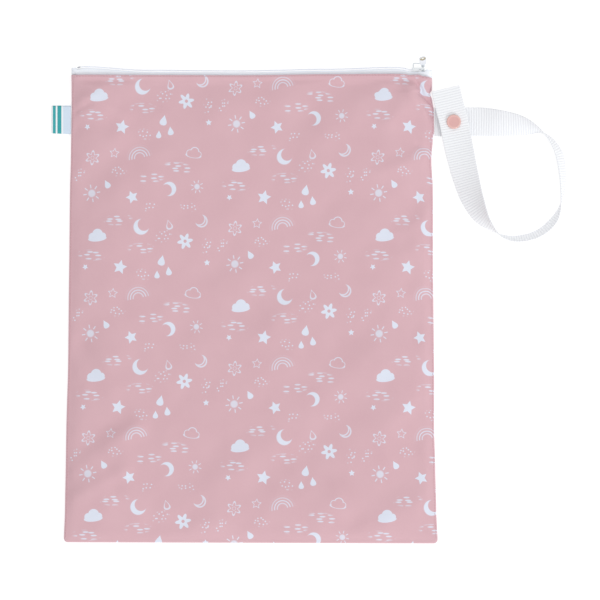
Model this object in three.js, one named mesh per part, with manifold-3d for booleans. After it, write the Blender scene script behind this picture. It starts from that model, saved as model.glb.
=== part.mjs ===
// Cloth wet bag, lying flat on its back: two cloth panels sewn together at the sides and foot, a coil zip
// along the top edge, a folded label in the left seam, and a webbing strap from the right seam that turns
// back over itself in a standing loop and is held by a snap.
// Millimetres. +X goes to the strap, +Y to the zip, +Z up. The origin is under the middle of the whole bag.
import * as THREE from "three";
import { mergeVertices } from "three/addons/utils/BufferGeometryUtils.js";
import Module from "manifold-3d";

const clearance = 0.3; // between two pieces that meet

// Bag
const bagWidthTop = 303;
const bagWidthBottom = 314;
const bagHeight = 400; // from the foot to the top of the zip
const clothWall = 1.0;
const seamHalf = 1.5; // half the thickness of the side and foot seams
const mouthSeamHalf = 2.9; // the same where the side seams take in the zip
const mouthSeamLength = 30; // how far down from the zip the seams are that thick
const crownHeight = 8.6; // the bag's height in its middle
const mouthHeight = 7.8; // and at the zip
const sideRamp = 45; // how far in from a seam the cloth still rises
const mouthRamp = 5; // the same at the zip, where the coil holds the panels apart
const mouthRampLength = 50;
const footCornerRadius = 3.4;
const footSlant = 1.0; // the right end of the foot lies this much lower
const mouthShift = 0.85; // the zip's middle lies this far to the right of the foot's middle
const clothCell = 15; // the largest facet of the cloth
const ropeSides = 10; // facets round the zip's coil and the slider's bridge

// Zip
const zipBand = 6.2; // the tape that shows above a panel
const tapeThickness = 1.0;
const tapeUnderPanel = 3.5;
const tapeEndInset = 3.0; // the tape's hidden part stops this far inside the side seams
const coilWidth = 4.2;
const coilThickness = 1.4;
const coilStart = 8; // from the left seam
const stopLength = 2.6;
const stopThickness = 0.5;

// Slider, which rides on the coil with its face to the top of the bag, and its pull tab
const sliderFromSeam = 11.7;
const sliderLength = 10.9;
const sliderWidth = 7.4;
const sliderTaper = 0.6;
const sliderPlate = 0.9;
const sliderWedgeLength = 2.4;
const sliderWedgeWidth = 1.2;
const sliderCorner = 1.2; // radius
const sliderWindow = 1.5; // length of each of the two holes in a flange
const windowInset = 1.1; // from the slider's end to the first hole's middle
const windowPitch = 2.6;
const bridgeWire = 1.0;
const bridgeOpening = 3.1;
const bridgeEndInset = 0.8;
const bridgeBend = 0.8; // radius at the bridge's corners
const pullLength = 15.5;
const pullWidth = 6.3;
const pullThickness = 0.8;
const pullEyeRadius = 1.7;
const pullHoleRadius = 2.3;
const pullLean = 28; // degrees from upright towards the top of the bag
const pullRoll = 15; // then about the upright line
const pullSpin = 5; // and first in its own plane

// Strap and snap
const strapWidth = 24.5;
const strapThickness = 1.2;
const strapDown = 47; // from the top of the zip to the middle of the strap, at the seam
const loopReach = 110.6; // from the seam to the far side of the loop
const loopDrop = 112.4; // from the strap's upper edge to the bottom of the loop
const strapStep = 4;
const snapDiameter = 12.05;
const snapCapHeight = 1.8;
const snapBackHeight = 1.6;
const snapPairHeight = 3.0; // stud and socket, closed
const snapPairDiameter = 9.4;
const snapPostDiameter = 2.4;

// Label
const labelReach = 16.4;
const labelWidth = 22.7;
const labelThickness = 1.0;
const labelDown = 45; // from the top of the zip to the middle of the label

// The side edges, from the foot up. left and right are how far each curves in from a straight side, as
// shares of the bag's width at the foot.
const sideRows = [
  { up: 0.0, left: 0.0, right: 0.0 },
  { up: 0.066, left: 0.0017, right: 0.0026 },
  { up: 0.153, left: 0.002, right: 0.0041 },
  { up: 0.237, left: 0.002, right: 0.0058 },
  { up: 0.373, left: 0.004, right: 0.004 },
  { up: 0.552, left: 0.0028, right: 0.004 },
  { up: 0.743, left: 0.0017, right: 0.0019 },
  { up: 0.799, left: 0.0026, right: 0.005 },
  { up: 0.849, left: 0.0026, right: 0.0005 },
  { up: 0.86, left: 0.0026, right: -0.0035 },
  { up: 0.906, left: 0.0026, right: -0.0035 },
  { up: 0.925, left: 0.0022, right: 0.0003 },
  { up: 0.9432, left: 0.0018, right: 0.0058 },
  { up: 0.949, left: 0.0016, right: 0.001 },
  { up: 1.0, left: 0.0, right: 0.0 },
];

// The zip edge, from left to right. drop is how far the top lies below its highest place, and band how much
// tape shows above the panel, as shares of zipBand.
const topRows = [
  { across: 0.0, drop: 0.23, band: 1.0 },
  { across: 0.036, drop: 0.0, band: 1.2 },
  { across: 0.211, drop: 0.49, band: 0.75 },
  { across: 0.466, drop: 0.57, band: 0.72 },
  { across: 0.715, drop: 0.35, band: 0.8 },
  { across: 0.895, drop: 0.09, band: 1.0 },
  { across: 0.958, drop: 0.44, band: 0.74 },
  { across: 0.98, drop: 0.44, band: 1.0 },
  { across: 1.0, drop: 0.53, band: 1.11 },
];

// Folds of the upper panel, each a round-ended ridge or groove along a line. across and up are shares of the
// bag's width and height, wide is half the fold's width as a share of the bag's, and rise is a share of its
// crown height.
const folds = [
  { name: "corner crease", across: 0.956, up: 0.985, toAcross: 0.995, toUp: 0.944, wide: 0.006, rise: -0.2 },
  { name: "corner swell", across: 0.935, up: 0.975, toAcross: 0.972, toUp: 0.925, wide: 0.018, rise: 0.14 },
  { name: "strap crease", across: 0.982, up: 0.936, toAcross: 0.998, toUp: 0.913, wide: 0.007, rise: -0.12 },
  { name: "strap pucker", across: 0.96, up: 0.85, toAcross: 0.997, toUp: 0.845, wide: 0.009, rise: -0.08 },
  { name: "label crease", across: 0.0, up: 0.92, toAcross: 0.05, toUp: 0.94, wide: 0.012, rise: -0.12 },
  { name: "left hollow", across: 0.03, up: 0.893, toAcross: 0.105, toUp: 0.895, wide: 0.03, rise: -0.12 },
  { name: "left shoulder", across: 0.05, up: 0.947, toAcross: 0.14, toUp: 0.915, wide: 0.022, rise: 0.09 },
  { name: "low groove", across: 0.075, up: 0.21, toAcross: 0.135, toUp: 0.13, wide: 0.025, rise: -0.11 },
  { name: "low ridge", across: 0.15, up: 0.225, toAcross: 0.17, toUp: 0.165, wide: 0.022, rise: 0.09 },
  { name: "left groove", across: 0.04, up: 0.425, toAcross: 0.11, toUp: 0.26, wide: 0.03, rise: -0.1 },
  { name: "right ridge", across: 0.965, up: 0.62, toAcross: 0.96, toUp: 0.5, wide: 0.025, rise: 0.09 },
];

// The strap's route from the seam round to its free end. out and down place its middle line, as shares
// of loopReach and loopDrop. tilt turns the strap about its own length, in degrees: 0 is face up, 90 stands
// on its edge, 180 lies face down. onBack and onPair are how much it is raised by the snap's back cap, and
// by the whole closed snap.
const strapRoute = [
  { out: 0.0, down: 0.108, tilt: 0, onBack: 0.47, onPair: 0 },
  { out: 0.075, down: 0.108, tilt: 0, onBack: 1, onPair: 0 },
  { out: 0.148, down: 0.108, tilt: 0, onBack: 1, onPair: 0 },
  { out: 0.22, down: 0.108, tilt: 0, onBack: 1, onPair: 0 },
  { out: 0.3, down: 0.108, tilt: 3, onBack: 0.35, onPair: 0 },
  { out: 0.38, down: 0.109, tilt: 10, onBack: 0, onPair: 0 },
  { out: 0.5, down: 0.118, tilt: 27, onBack: 0, onPair: 0 },
  { out: 0.6, down: 0.128, tilt: 40, onBack: 0, onPair: 0 },
  { out: 0.68, down: 0.139, tilt: 54, onBack: 0, onPair: 0 },
  { out: 0.745, down: 0.156, tilt: 70, onBack: 0, onPair: 0 },
  { out: 0.812, down: 0.183, tilt: 88, onBack: 0, onPair: 0 },
  { out: 0.868, down: 0.228, tilt: 97, onBack: 0, onPair: 0 },
  { out: 0.912, down: 0.283, tilt: 102, onBack: 0, onPair: 0 },
  { out: 0.948, down: 0.36, tilt: 106, onBack: 0, onPair: 0 },
  { out: 0.968, down: 0.47, tilt: 105, onBack: 0, onPair: 0 },
  { out: 0.973, down: 0.58, tilt: 101, onBack: 0, onPair: 0 },
  { out: 0.966, down: 0.68, tilt: 95, onBack: 0, onPair: 0 },
  { out: 0.942, down: 0.775, tilt: 85, onBack: 0, onPair: 0 },
  { out: 0.9, down: 0.85, tilt: 77, onBack: 0, onPair: 0 },
  { out: 0.825, down: 0.92, tilt: 76, onBack: 0, onPair: 0 },
  { out: 0.73, down: 0.965, tilt: 77, onBack: 0, onPair: 0 },
  { out: 0.625, down: 0.982, tilt: 79, onBack: 0, onPair: 0 },
  { out: 0.545, down: 0.972, tilt: 83, onBack: 0, onPair: 0 },
  { out: 0.48, down: 0.942, tilt: 90, onBack: 0, onPair: 0 },
  { out: 0.415, down: 0.885, tilt: 104, onBack: 0, onPair: 0 },
  { out: 0.345, down: 0.8, tilt: 124, onBack: 0, onPair: 0.03 },
  { out: 0.283, down: 0.67, tilt: 142, onBack: 0, onPair: 0.15 },
  { out: 0.237, down: 0.52, tilt: 155, onBack: 0, onPair: 0.4 },
  { out: 0.2, down: 0.37, tilt: 166, onBack: 0, onPair: 0.75 },
  { out: 0.1745, down: 0.25, tilt: 176, onBack: 0, onPair: 0.97 },
  { out: 0.1585, down: 0.17, tilt: 180, onBack: 0, onPair: 1 },
  { out: 0.146, down: 0.108, tilt: 180, onBack: 0, onPair: 1 },
  { out: 0.118, down: 0.0, tilt: 180, onBack: 0, onPair: 1 },
  { out: 0.083, down: -0.142, tilt: 180, onBack: 0, onPair: 0.98 },
];

const finishes = {
  cloth: new THREE.MeshStandardMaterial({ color: 0xd7b3b9, roughness: 0.75 }),
  zip: new THREE.MeshStandardMaterial({ color: 0xe8ecf6, roughness: 0.8 }),
  lacquer: new THREE.MeshStandardMaterial({ color: 0xeff2f6, roughness: 0.3, metalness: 0.1 }),
  webbing: new THREE.MeshStandardMaterial({ color: 0xf2f3f6, roughness: 0.85 }),
  snap: new THREE.MeshStandardMaterial({ color: 0xdcaeab, roughness: 0.35 }),
  label: new THREE.MeshStandardMaterial({ color: 0xe6f0f6, roughness: 0.5 }),
};

const { Manifold, Mesh: SolidMesh } = await Module().then((wasm) => {
  wasm.setup();
  return wasm;
});
const { sin, cos, abs, min, max, sqrt, PI, hypot, ceil } = Math;
const radians = THREE.MathUtils.degToRad;

// Small tools for shares and tables
const clamp01 = (t) => min(1, max(0, t));
const ease = (t) => clamp01(t) ** 2 * (3 - 2 * clamp01(t));
const swell = (t) => sin((PI / 2) * clamp01(t));
const mix = (a, b, t) => a + (b - a) * t;

// The value of one column of a table at a place, as a straight line between rows, rounded over each row.
function tableValue(rows, key, column, at) {
  const next = rows.findIndex((row) => row[key] >= at);
  if (next <= 0) return rows[next < 0 ? rows.length - 1 : 0][column];
  const [a, b] = [rows[next - 1], rows[next]];
  return mix(a[column], b[column], ease((at - a[key]) / (b[key] - a[key])));
}

// Shares from 0 to 1 along a length: given places near each end, and even steps between them.
function gridShares(length, fromStart, fromEnd, step) {
  const first = fromStart[fromStart.length - 1] ?? 0;
  const last = length - (fromEnd[fromEnd.length - 1] ?? 0);
  const steps = ceil((last - first) / step);
  const places = [...fromStart];
  for (let k = fromStart.length ? 1 : 0; k <= steps; k++) places.push(mix(first, last, k / steps));
  for (let k = fromEnd.length - 2; k >= 0; k--) places.push(length - fromEnd[k]);
  return places.map((place) => place / length);
}

// A closed wall between two sheets on one grid. upper lies on the side that columns cross rows point to.
function wallBetween(columns, rows, upper, lower) {
  const positions = [];
  const index = [];
  for (const sheet of [upper, lower]) {
    for (let i = 0; i < columns; i++) {
      for (let j = 0; j < rows; j++) positions.push(...sheet(i, j));
    }
  }
  const under = columns * rows;
  const at = (i, j) => i * rows + j;
  const quad = (a, b, c, d) => index.push(a, b, c, a, c, d);
  for (let i = 0; i < columns - 1; i++) {
    for (let j = 0; j < rows - 1; j++) {
      const [a, b, c, d] = [at(i, j), at(i + 1, j), at(i + 1, j + 1), at(i, j + 1)];
      quad(a, b, c, d);
      quad(d + under, c + under, b + under, a + under);
    }
  }
  for (let i = 0; i < columns - 1; i++) {
    quad(at(i, 0) + under, at(i + 1, 0) + under, at(i + 1, 0), at(i, 0));
    quad(at(i, rows - 1), at(i + 1, rows - 1), at(i + 1, rows - 1) + under, at(i, rows - 1) + under);
  }
  for (let j = 0; j < rows - 1; j++) {
    quad(at(0, j), at(0, j + 1), at(0, j + 1) + under, at(0, j) + under);
    const end = columns - 1;
    quad(at(end, j) + under, at(end, j + 1) + under, at(end, j + 1), at(end, j));
  }
  return closedGeometry(positions, index);
}

function closedGeometry(positions, index) {
  const geometry = new THREE.BufferGeometry();
  geometry.setAttribute("position", new THREE.Float32BufferAttribute(positions, 3));
  geometry.setIndex(index);
  geometry.computeVertexNormals();
  return geometry;
}

// A closed tube through rings of as many points each, with flat ends.
function ringTube(rings) {
  const count = rings[0].length;
  const index = [];
  for (let r = 0; r < rings.length - 1; r++) {
    for (let k = 0; k < count; k++) {
      const [a, b] = [r * count + k, r * count + ((k + 1) % count)];
      index.push(a, b, b + count, a, b + count, a + count);
    }
  }
  const last = (rings.length - 1) * count;
  for (let k = 1; k < count - 1; k++) {
    index.push(0, k + 1, k);
    index.push(last, last + k, last + k + 1);
  }
  return closedGeometry(rings.flat(2), index);
}

function solidOf(geometry) {
  const bare = geometry.clone();
  bare.deleteAttribute("normal");
  bare.deleteAttribute("uv");
  const merged = mergeVertices(bare, 1e-4);
  const vertProperties = new Float32Array(merged.attributes.position.array);
  const triVerts = new Uint32Array(merged.index.array);
  return new Manifold(new SolidMesh({ numProp: 3, vertProperties, triVerts }));
}

function geometryOf(solid) {
  const mesh = solid.getMesh();
  return closedGeometry(mesh.vertProperties, Array.from(mesh.triVerts));
}

function box(xFrom, xTo, yFrom, yTo, zFrom, zTo) {
  const geometry = new THREE.BoxGeometry(xTo - xFrom, yTo - yFrom, zTo - zFrom);
  return geometry.translate((xFrom + xTo) / 2, (yFrom + yTo) / 2, (zFrom + zTo) / 2);
}

const bag = new THREE.Group();
function addPiece(name, geometry, finish, parent = bag) {
  const mesh = new THREE.Mesh(geometry, finish);
  mesh.name = name;
  parent.add(mesh);
  return mesh;
}

// Outline of the bag. The foot is at y = 0, and x = 0 halfway along it.
const widthAt = (up) => mix(bagWidthBottom, bagWidthTop, up);
const sideX = (side, up) => {
  const straight = (side * widthAt(up)) / 2 + mouthShift * up;
  const curved = tableValue(sideRows, "up", side < 0 ? "left" : "right", up);
  return straight - side * curved * bagWidthBottom;
};
const sliderAcross = 1 - sliderFromSeam / bagWidthTop;

// Near the slider the zip runs straight: all that is read there is read at the slider's middle.
function straightened(across) {
  const away = abs(across - sliderAcross) * bagWidthTop - sliderLength / 2;
  return mix(sliderAcross, across, ease(away / mouthRamp));
}
const zipDrop = (across) => zipBand * tableValue(topRows, "across", "drop", straightened(across));
const zipTopY = (across) => bagHeight - zipDrop(across);
const panelTopY = (across) => zipTopY(across) - zipBand * tableValue(topRows, "across", "band", across);

// How thick the side seams are, and how far the cloth rises from them, both by height.
const nearMouth = (y, length) => ease(1 - (bagHeight - zipBand - y) / length);
const seamAt = (y) => mix(seamHalf, mouthSeamHalf, nearMouth(y, mouthSeamLength));
const rampAt = (y) => mix(sideRamp, mouthRamp, nearMouth(y, mouthRampLength));
const acrossSwell = (across, y) => {
  const width = bagWidthTop;
  return swell((across * width) / rampAt(y)) * swell(((1 - across) * width) / rampAt(y));
};

// A place on the cloth seen from above, and how far it is from the edge. inset moves the edge inwards. In
// the corners of the foot, squares round the corner's centre become circles round it.
function clothPlan(across, up, inset) {
  const foot = -footSlant * across + inset;
  let y = mix(foot, panelTopY(across), up);
  const left = sideX(-1, y / bagHeight) + inset;
  const right = sideX(1, y / bagHeight) - inset;
  let x = mix(left, right, across);
  const toSide = min(x - left, right - x);
  const toFoot = y - foot;
  const radius = max(footCornerRadius - inset, clearance);
  const [a, b] = [radius - toSide, radius - toFoot];
  if (a > 0 && b > 0) {
    const reach = max(a, b);
    const angle = a >= b ? (PI / 4) * (b / a) : PI / 2 - (PI / 4) * (a / b);
    const inward = x - left < right - x ? 1 : -1;
    x = (inward > 0 ? left : right) + inward * (radius - reach * cos(angle));
    y = foot + radius - reach * sin(angle);
  }
  return { x, y, edge: min(toSide, toFoot), toFoot };
}

// How far the folds lift the upper panel at a place.
function foldLift(across, up) {
  let lift = 0;
  for (const fold of folds) {
    const [dx, dy] = [(across - fold.across) * bagWidthTop, (up - fold.up) * bagHeight];
    const [lx, ly] = [(fold.toAcross - fold.across) * bagWidthTop, (fold.toUp - fold.up) * bagHeight];
    const along = clamp01((dx * lx + dy * ly) / (lx * lx + ly * ly));
    const away = hypot(dx - along * lx, dy - along * ly) / (fold.wide * bagWidthTop);
    lift += fold.rise * crownHeight * Math.exp(-away * away);
  }
  return lift;
}

// A point of a panel's outer or inner sheet. Its rim is a quarter round from the seam's middle; the upper
// panel then swells to its crown, and the lower one lies flat.
function clothPoint(upperPanel, inner, across, up) {
  const grid = clothPlan(across, up, 0);
  const seam = seamAt(grid.y);
  const rim = clamp01(grid.edge / seam);
  const inset = inner ? clothWall * (1 - ease(grid.edge / (2 * seam))) : 0;
  const { x, y } = clothPlan(across, up, inset);
  const half = inner ? seam - clothWall : seam;
  const fromSeam = clearance / 2 + (half - clearance / 2) * sqrt(1 - (1 - rim) ** 2);
  if (!upperPanel) return [x, y, seam - fromSeam];
  const height = mix(crownHeight, mouthHeight, nearMouth(y, mouthRampLength));
  const rise = (height - 2 * seam) * acrossSwell(across, y) * swell(grid.toFoot / sideRamp);
  const free = ease(grid.edge / (5 * seamHalf)) * ease((panelTopY(across) - tapeUnderPanel - y) / zipBand);
  return [x, y, seam + fromSeam + rise + foldLift(across, up) * free];
}

// The cloth's facets stand closer near its edges and in its creased corner.
const rimPlaces = [0, 0.12, 0.45, 1].map((share) => share * seamHalf);
const nearLeft = [...rimPlaces, 3, 5, 8];
const nearRight = [...nearLeft, 13, 19];
const nearZip = [0, 4, 8, 13, 18, 24, 31, 38, 47, 57];
const upperAcross = gridShares(bagWidthTop, nearLeft, nearRight, clothCell);
const upperUp = gridShares(bagHeight, [...rimPlaces, 3.5, 7], nearZip, clothCell);
const lowerAcross = gridShares(bagWidthTop, [...rimPlaces, 3.5], [...rimPlaces, 3.5], 4 * clothCell);
const lowerUp = gridShares(bagHeight, [...rimPlaces, 3.5], [0, 12, 24, 36, 48, 60], 3 * clothCell);

function panel(upperPanel, acrossShares, upShares) {
  const sheet = (inner) => (i, j) => clothPoint(upperPanel, inner, acrossShares[i], upShares[j]);
  return wallBetween(acrossShares.length, upShares.length, sheet(!upperPanel), sheet(upperPanel));
}
addPiece("front_panel", panel(true, upperAcross, upperUp), finishes.cloth);
addPiece("back_panel", panel(false, lowerAcross, lowerUp), finishes.cloth);

// The zip's middle plane, and how far each tape stands off it: pressed together in the seams, and held
// apart by the coil between them.
const zipRise = (across) => (mouthHeight - 2 * mouthSeamHalf) * acrossSwell(straightened(across), bagHeight);
const zipMiddle = (across) => mouthSeamHalf + zipRise(across) / 2;
const tapeEndSpread = mouthSeamHalf - clothWall - 1.5 * clearance - tapeThickness / 2;
const tapeSpread = (across) => tapeEndSpread + zipRise(across) / 2;
const acrossOf = (x) => (x - sideX(-1, 1)) / (sideX(1, 1) - sideX(-1, 1));
const sliderX = mix(sideX(-1, 1), sideX(1, 1), sliderAcross);
const wedgeTo = sliderX + sliderLength / 2 - clearance;
const wedgeFrom = wedgeTo - sliderWedgeLength;

const coilFrom = sideX(-1, 1) + coilStart;
const coilTo = wedgeFrom - clearance;
const stopFrom = coilFrom - clearance - stopLength;

// The tapes' edges lie under the coil and the slider, and rise to the top of the zip past both ends.
function tapeTop(across) {
  const x = mix(sideX(-1, 1), sideX(1, 1), across);
  const past = max(stopFrom - clearance - x, x - sliderX - sliderLength / 2 - clearance);
  const under = (coilThickness + clearance) * (1 - ease(past / coilThickness));
  return zipTopY(across) - tapeThickness / 2 - under;
}

// The tapes' edges meet on the middle plane, and part round the slider's wedge.
const tapePart = 1.2; // the length over which they part
function tapeEdgeGap(across) {
  const x = mix(sideX(-1, 1), sideX(1, 1), across);
  const outside = max(wedgeFrom - clearance - x, x - wedgeTo - clearance);
  return mix(sliderWedgeWidth / 2 + clearance, clearance / 2, ease(outside / tapePart));
}

// The path of a tape's section: from under the panel to the band, then round to the coil. Each place has y,
// the distance from the middle plane, and the inset of its ends from the side seams.
function tapePath(across) {
  const spread = tapeSpread(across);
  const edge = tapeEdgeGap(across);
  const top = tapeTop(across);
  const shoulder = top - min(spread, zipBand / 6);
  const band = panelTopY(across);
  const path = [
    { y: band - tapeUnderPanel, off: spread, inset: tapeEndInset },
    { y: band - clearance, off: spread, inset: tapeEndInset },
    { y: band + clearance, off: spread, inset: clearance },
  ];
  for (const turn of [0, 30, 60, 90].map(radians)) {
    const y = shoulder + (top - shoulder) * sin(turn);
    path.push({ y, off: edge + (spread - edge) * cos(turn), inset: clearance });
  }
  return path;
}

// Sections of the tape stand closer where its edge steps: at the stop, the wedge and the slider's end.
const sliderEnd = sliderX + sliderLength / 2 + clearance;
const partPlaces = [wedgeFrom - clearance - tapePart, wedgeFrom - clearance, wedgeTo + clearance];
const rightPlaces = [...partPlaces, sliderEnd, sliderEnd + coilThickness].map((x) => sideX(1, 1) - x);
const sliderPlaces = [0.5, 1].map((share) => sliderFromSeam + share * sliderLength + clearance);
const stopPlaces = [stopFrom - clearance - coilThickness, stopFrom - clearance].map((x) => x - sideX(-1, 1));
const tapeLeft = [0, ...stopPlaces, coilStart + stopLength];
const tapeRight = [0, ...rightPlaces.reverse(), ...sliderPlaces];
const tapeAcross = gridShares(bagWidthTop, tapeLeft, tapeRight, clothCell);
const tapePaths = tapeAcross.map(tapePath);

function tapePoint(side, outward, i, j) {
  const path = tapePaths[i];
  const [before, here, after] = [path[max(j - 1, 0)], path[j], path[min(j + 1, path.length - 1)]];
  const [dy, doff] = [after.y - before.y, after.off - before.off];
  const thick = (outward * tapeThickness) / 2 / hypot(dy, doff);
  const [left, right] = [sideX(-1, 1) + here.inset, sideX(1, 1) - here.inset];
  const off = here.off + thick * dy;
  return [mix(left, right, tapeAcross[i]), here.y - thick * doff, zipMiddle(tapeAcross[i]) + side * off];
}

function tape(side) {
  const sheet = (outward) => (i, j) => tapePoint(side, outward, i, j);
  return wallBetween(tapeAcross.length, tapePaths[0].length, sheet(side), sheet(-side));
}
addPiece("zip_tape_front", tape(1), finishes.zip);
addPiece("zip_tape_back", tape(-1), finishes.zip);

// The closed coil, a flat-oval rope along the top edge, and the stop at its left end.
function coilRing(x, width, thickness) {
  const ring = [];
  for (let k = 0; k < ropeSides; k++) {
    const turn = (2 * PI * k) / ropeSides;
    const y = zipTopY(acrossOf(x)) - coilThickness / 2 + (thickness / 2) * cos(turn);
    ring.push([x, y, zipMiddle(acrossOf(x)) + (width / 2) * sin(turn)]);
  }
  return ring;
}
const coilPlaces = tapeAcross.map((across) => mix(sideX(-1, 1), sideX(1, 1), across));
const coilInner = coilPlaces.filter((x) => x > coilFrom + clearance && x < coilTo - clearance);
const coilRings = [coilFrom, ...coilInner, coilTo].map((x) => coilRing(x, coilWidth, coilThickness));
addPiece("zip_coil", ringTube(coilRings), finishes.zip);

function stopRing(x) {
  return coilRing(x, coilWidth + 2 * stopThickness, coilThickness);
}
const stopRings = [stopFrom, coilFrom - clearance].map(stopRing);
addPiece("zip_stop", ringTube(stopRings), finishes.lacquer);

// The slider, from the coil's top: a plate over the coil with a flange down each side, a wedge between the
// tapes to a narrow plate inside them, and a wire bridge over the plate for the pull tab.
const sliderGroup = new THREE.Group();
sliderGroup.position.set(sliderX, zipTopY(sliderAcross), zipMiddle(sliderAcross));
bag.add(sliderGroup);
const plateFrom = clearance;
const plateTo = plateFrom + sliderPlate;
const legHeight = plateTo + bridgeOpening + bridgeWire / 2;
const legX = sliderLength / 2 - bridgeEndInset - bridgeWire / 2;
const insidePlateTop = -(coilThickness + 2 * clearance + tapeThickness);

function sliderPlateShape() {
  const [half, wide] = [sliderLength / 2, sliderWidth / 2];
  const narrow = wide - sliderTaper;
  const shape = new THREE.Shape();
  const round = sliderCorner;
  shape.moveTo(-half + round, -narrow);
  shape.lineTo(half - round, -wide);
  shape.quadraticCurveTo(half, -wide, half, -wide + round);
  shape.lineTo(half, wide - round);
  shape.quadraticCurveTo(half, wide, half - round, wide);
  shape.lineTo(-half + round, narrow);
  shape.quadraticCurveTo(-half, narrow, -half, narrow - round);
  shape.lineTo(-half, -narrow + round);
  shape.quadraticCurveTo(-half, -narrow, -half + round, -narrow);
  return shape;
}

function bridgeRings() {
  const path = new THREE.CurvePath();
  const corner = [new THREE.Vector3(-legX, legHeight, 0), new THREE.Vector3(legX, legHeight, 0)];
  const foot = corner.map((p) => new THREE.Vector3(p.x, plateTo - clearance, 0));
  const down = new THREE.Vector3(0, -bridgeBend, 0);
  const over = new THREE.Vector3(bridgeBend, 0, 0);
  const leftLow = corner[0].clone().add(down);
  const leftIn = corner[0].clone().add(over);
  const rightIn = corner[1].clone().sub(over);
  const rightLow = corner[1].clone().add(down);
  path.add(new THREE.LineCurve3(foot[0], leftLow));
  path.add(new THREE.QuadraticBezierCurve3(leftLow, corner[0], leftIn));
  path.add(new THREE.LineCurve3(leftIn, rightIn));
  path.add(new THREE.QuadraticBezierCurve3(rightIn, corner[1], rightLow));
  path.add(new THREE.LineCurve3(rightLow, foot[1]));
  const rings = [];
  path.curves.forEach((curve, piece) => {
    const steps = piece % 2 ? 4 : 1;
    for (let k = piece ? 1 : 0; k <= steps; k++) {
      const [p, t] = [curve.getPoint(k / steps), curve.getTangent(k / steps)];
      rings.push(wireRing(p, t));
    }
  });
  return rings;
}

function wireRing(p, t) {
  const ring = [];
  for (let k = 0; k < ropeSides; k++) {
    const turn = (2 * PI * k) / ropeSides;
    const [side, up] = [(bridgeWire / 2) * cos(turn), (bridgeWire / 2) * sin(turn)];
    ring.push([p.x - t.y * side, p.y + t.x * side, p.z + up]);
  }
  return ring;
}

function sliderSlab(top, bottom) {
  const slab = new THREE.ExtrudeGeometry(sliderPlateShape(), { depth: top - bottom, bevelEnabled: false });
  return solidOf(slab.rotateX(PI / 2).translate(0, top, 0));
}

function slider() {
  const plate = sliderSlab(plateTo, plateFrom);
  const plateMiddle = (plateFrom + plateTo) / 2;
  const channel = coilWidth / 2 + clearance;
  const long = sliderLength;
  let flanges = sliderSlab(plateMiddle, clearance - coilThickness);
  flanges = flanges.subtract(solidOf(box(-long, long, -2 * coilThickness, plateFrom, -channel, channel)));
  for (const inset of [windowInset, windowInset + windowPitch]) {
    const x = sliderLength / 2 - inset - sliderWindow / 2;
    const window = box(x, x + sliderWindow, -coilThickness, 0.7 * sliderWindow - coilThickness, -long, long);
    flanges = flanges.subtract(solidOf(window));
  }
  const wide = sliderWedgeWidth / 2;
  const [from, to] = [wedgeFrom - sliderX, wedgeTo - sliderX];
  const wedge = box(from, to, insidePlateTop - sliderPlate / 2, plateMiddle, -wide, wide);
  const insideHalf = tapeSpread(sliderAcross) - tapeThickness / 2 - clearance;
  const inside = box(-legX, to, insidePlateTop - sliderPlate, insidePlateTop, -insideHalf, insideHalf);
  const bridge = ringTube(bridgeRings());
  return geometryOf(Manifold.union([plate, flanges, solidOf(wedge), solidOf(inside), solidOf(bridge)]));
}
addPiece("slider", slider(), finishes.lacquer, sliderGroup);

// The pull tab: a flat plate with a small eye round the bridge's right leg and a large hole at its tip. It
// is drawn flat with the eye at the origin, then turned upright. Its eye is bored along the leg.
function pullShape() {
  const half = pullWidth / 2;
  const shape = new THREE.Shape();
  const tip = pullLength - half;
  const neck = pullEyeRadius * 0.9;
  shape.absarc(0, 0, pullEyeRadius, radians(205), radians(335), false);
  shape.lineTo(neck, pullEyeRadius);
  shape.quadraticCurveTo(half, 2 * pullEyeRadius, half, tip);
  shape.absarc(0, tip, half, 0, PI, false);
  shape.quadraticCurveTo(-half, 2 * pullEyeRadius, -neck, pullEyeRadius);
  shape.closePath();
  const hole = new THREE.Path();
  hole.absarc(0, tip, pullHoleRadius, 0, 2 * PI, true);
  shape.holes.push(hole);
  return shape;
}

function pullTab() {
  const settings = { depth: pullThickness, bevelEnabled: false, curveSegments: 8 };
  const plate = new THREE.ExtrudeGeometry(pullShape(), settings).translate(0, 0, -pullThickness / 2);
  plate.rotateZ(-radians(pullSpin)).rotateX(PI / 2 - radians(pullLean)).rotateZ(radians(pullRoll));
  const bore = new THREE.CylinderGeometry(1, 1, 6 * pullEyeRadius, 16);
  bore.scale(bridgeWire / 2 + clearance, 1, bridgeWire / 2 + clearance);
  return geometryOf(solidOf(plate).subtract(solidOf(bore)));
}
const pullGroup = new THREE.Group();
pullGroup.position.set(legX, plateTo + bridgeOpening / 2, 0);
sliderGroup.add(pullGroup);
addPiece("pull_tab", pullTab(), finishes.lacquer, pullGroup);

// Heights of what the snap stacks up, from the surface that the bag lies on.
const lowerStrapBottom = snapBackHeight + clearance;
const pairBottom = lowerStrapBottom + strapThickness + clearance;
const upperStrapBottom = pairBottom + snapPairHeight + clearance;
const capBottom = upperStrapBottom + strapThickness + clearance;

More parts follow.
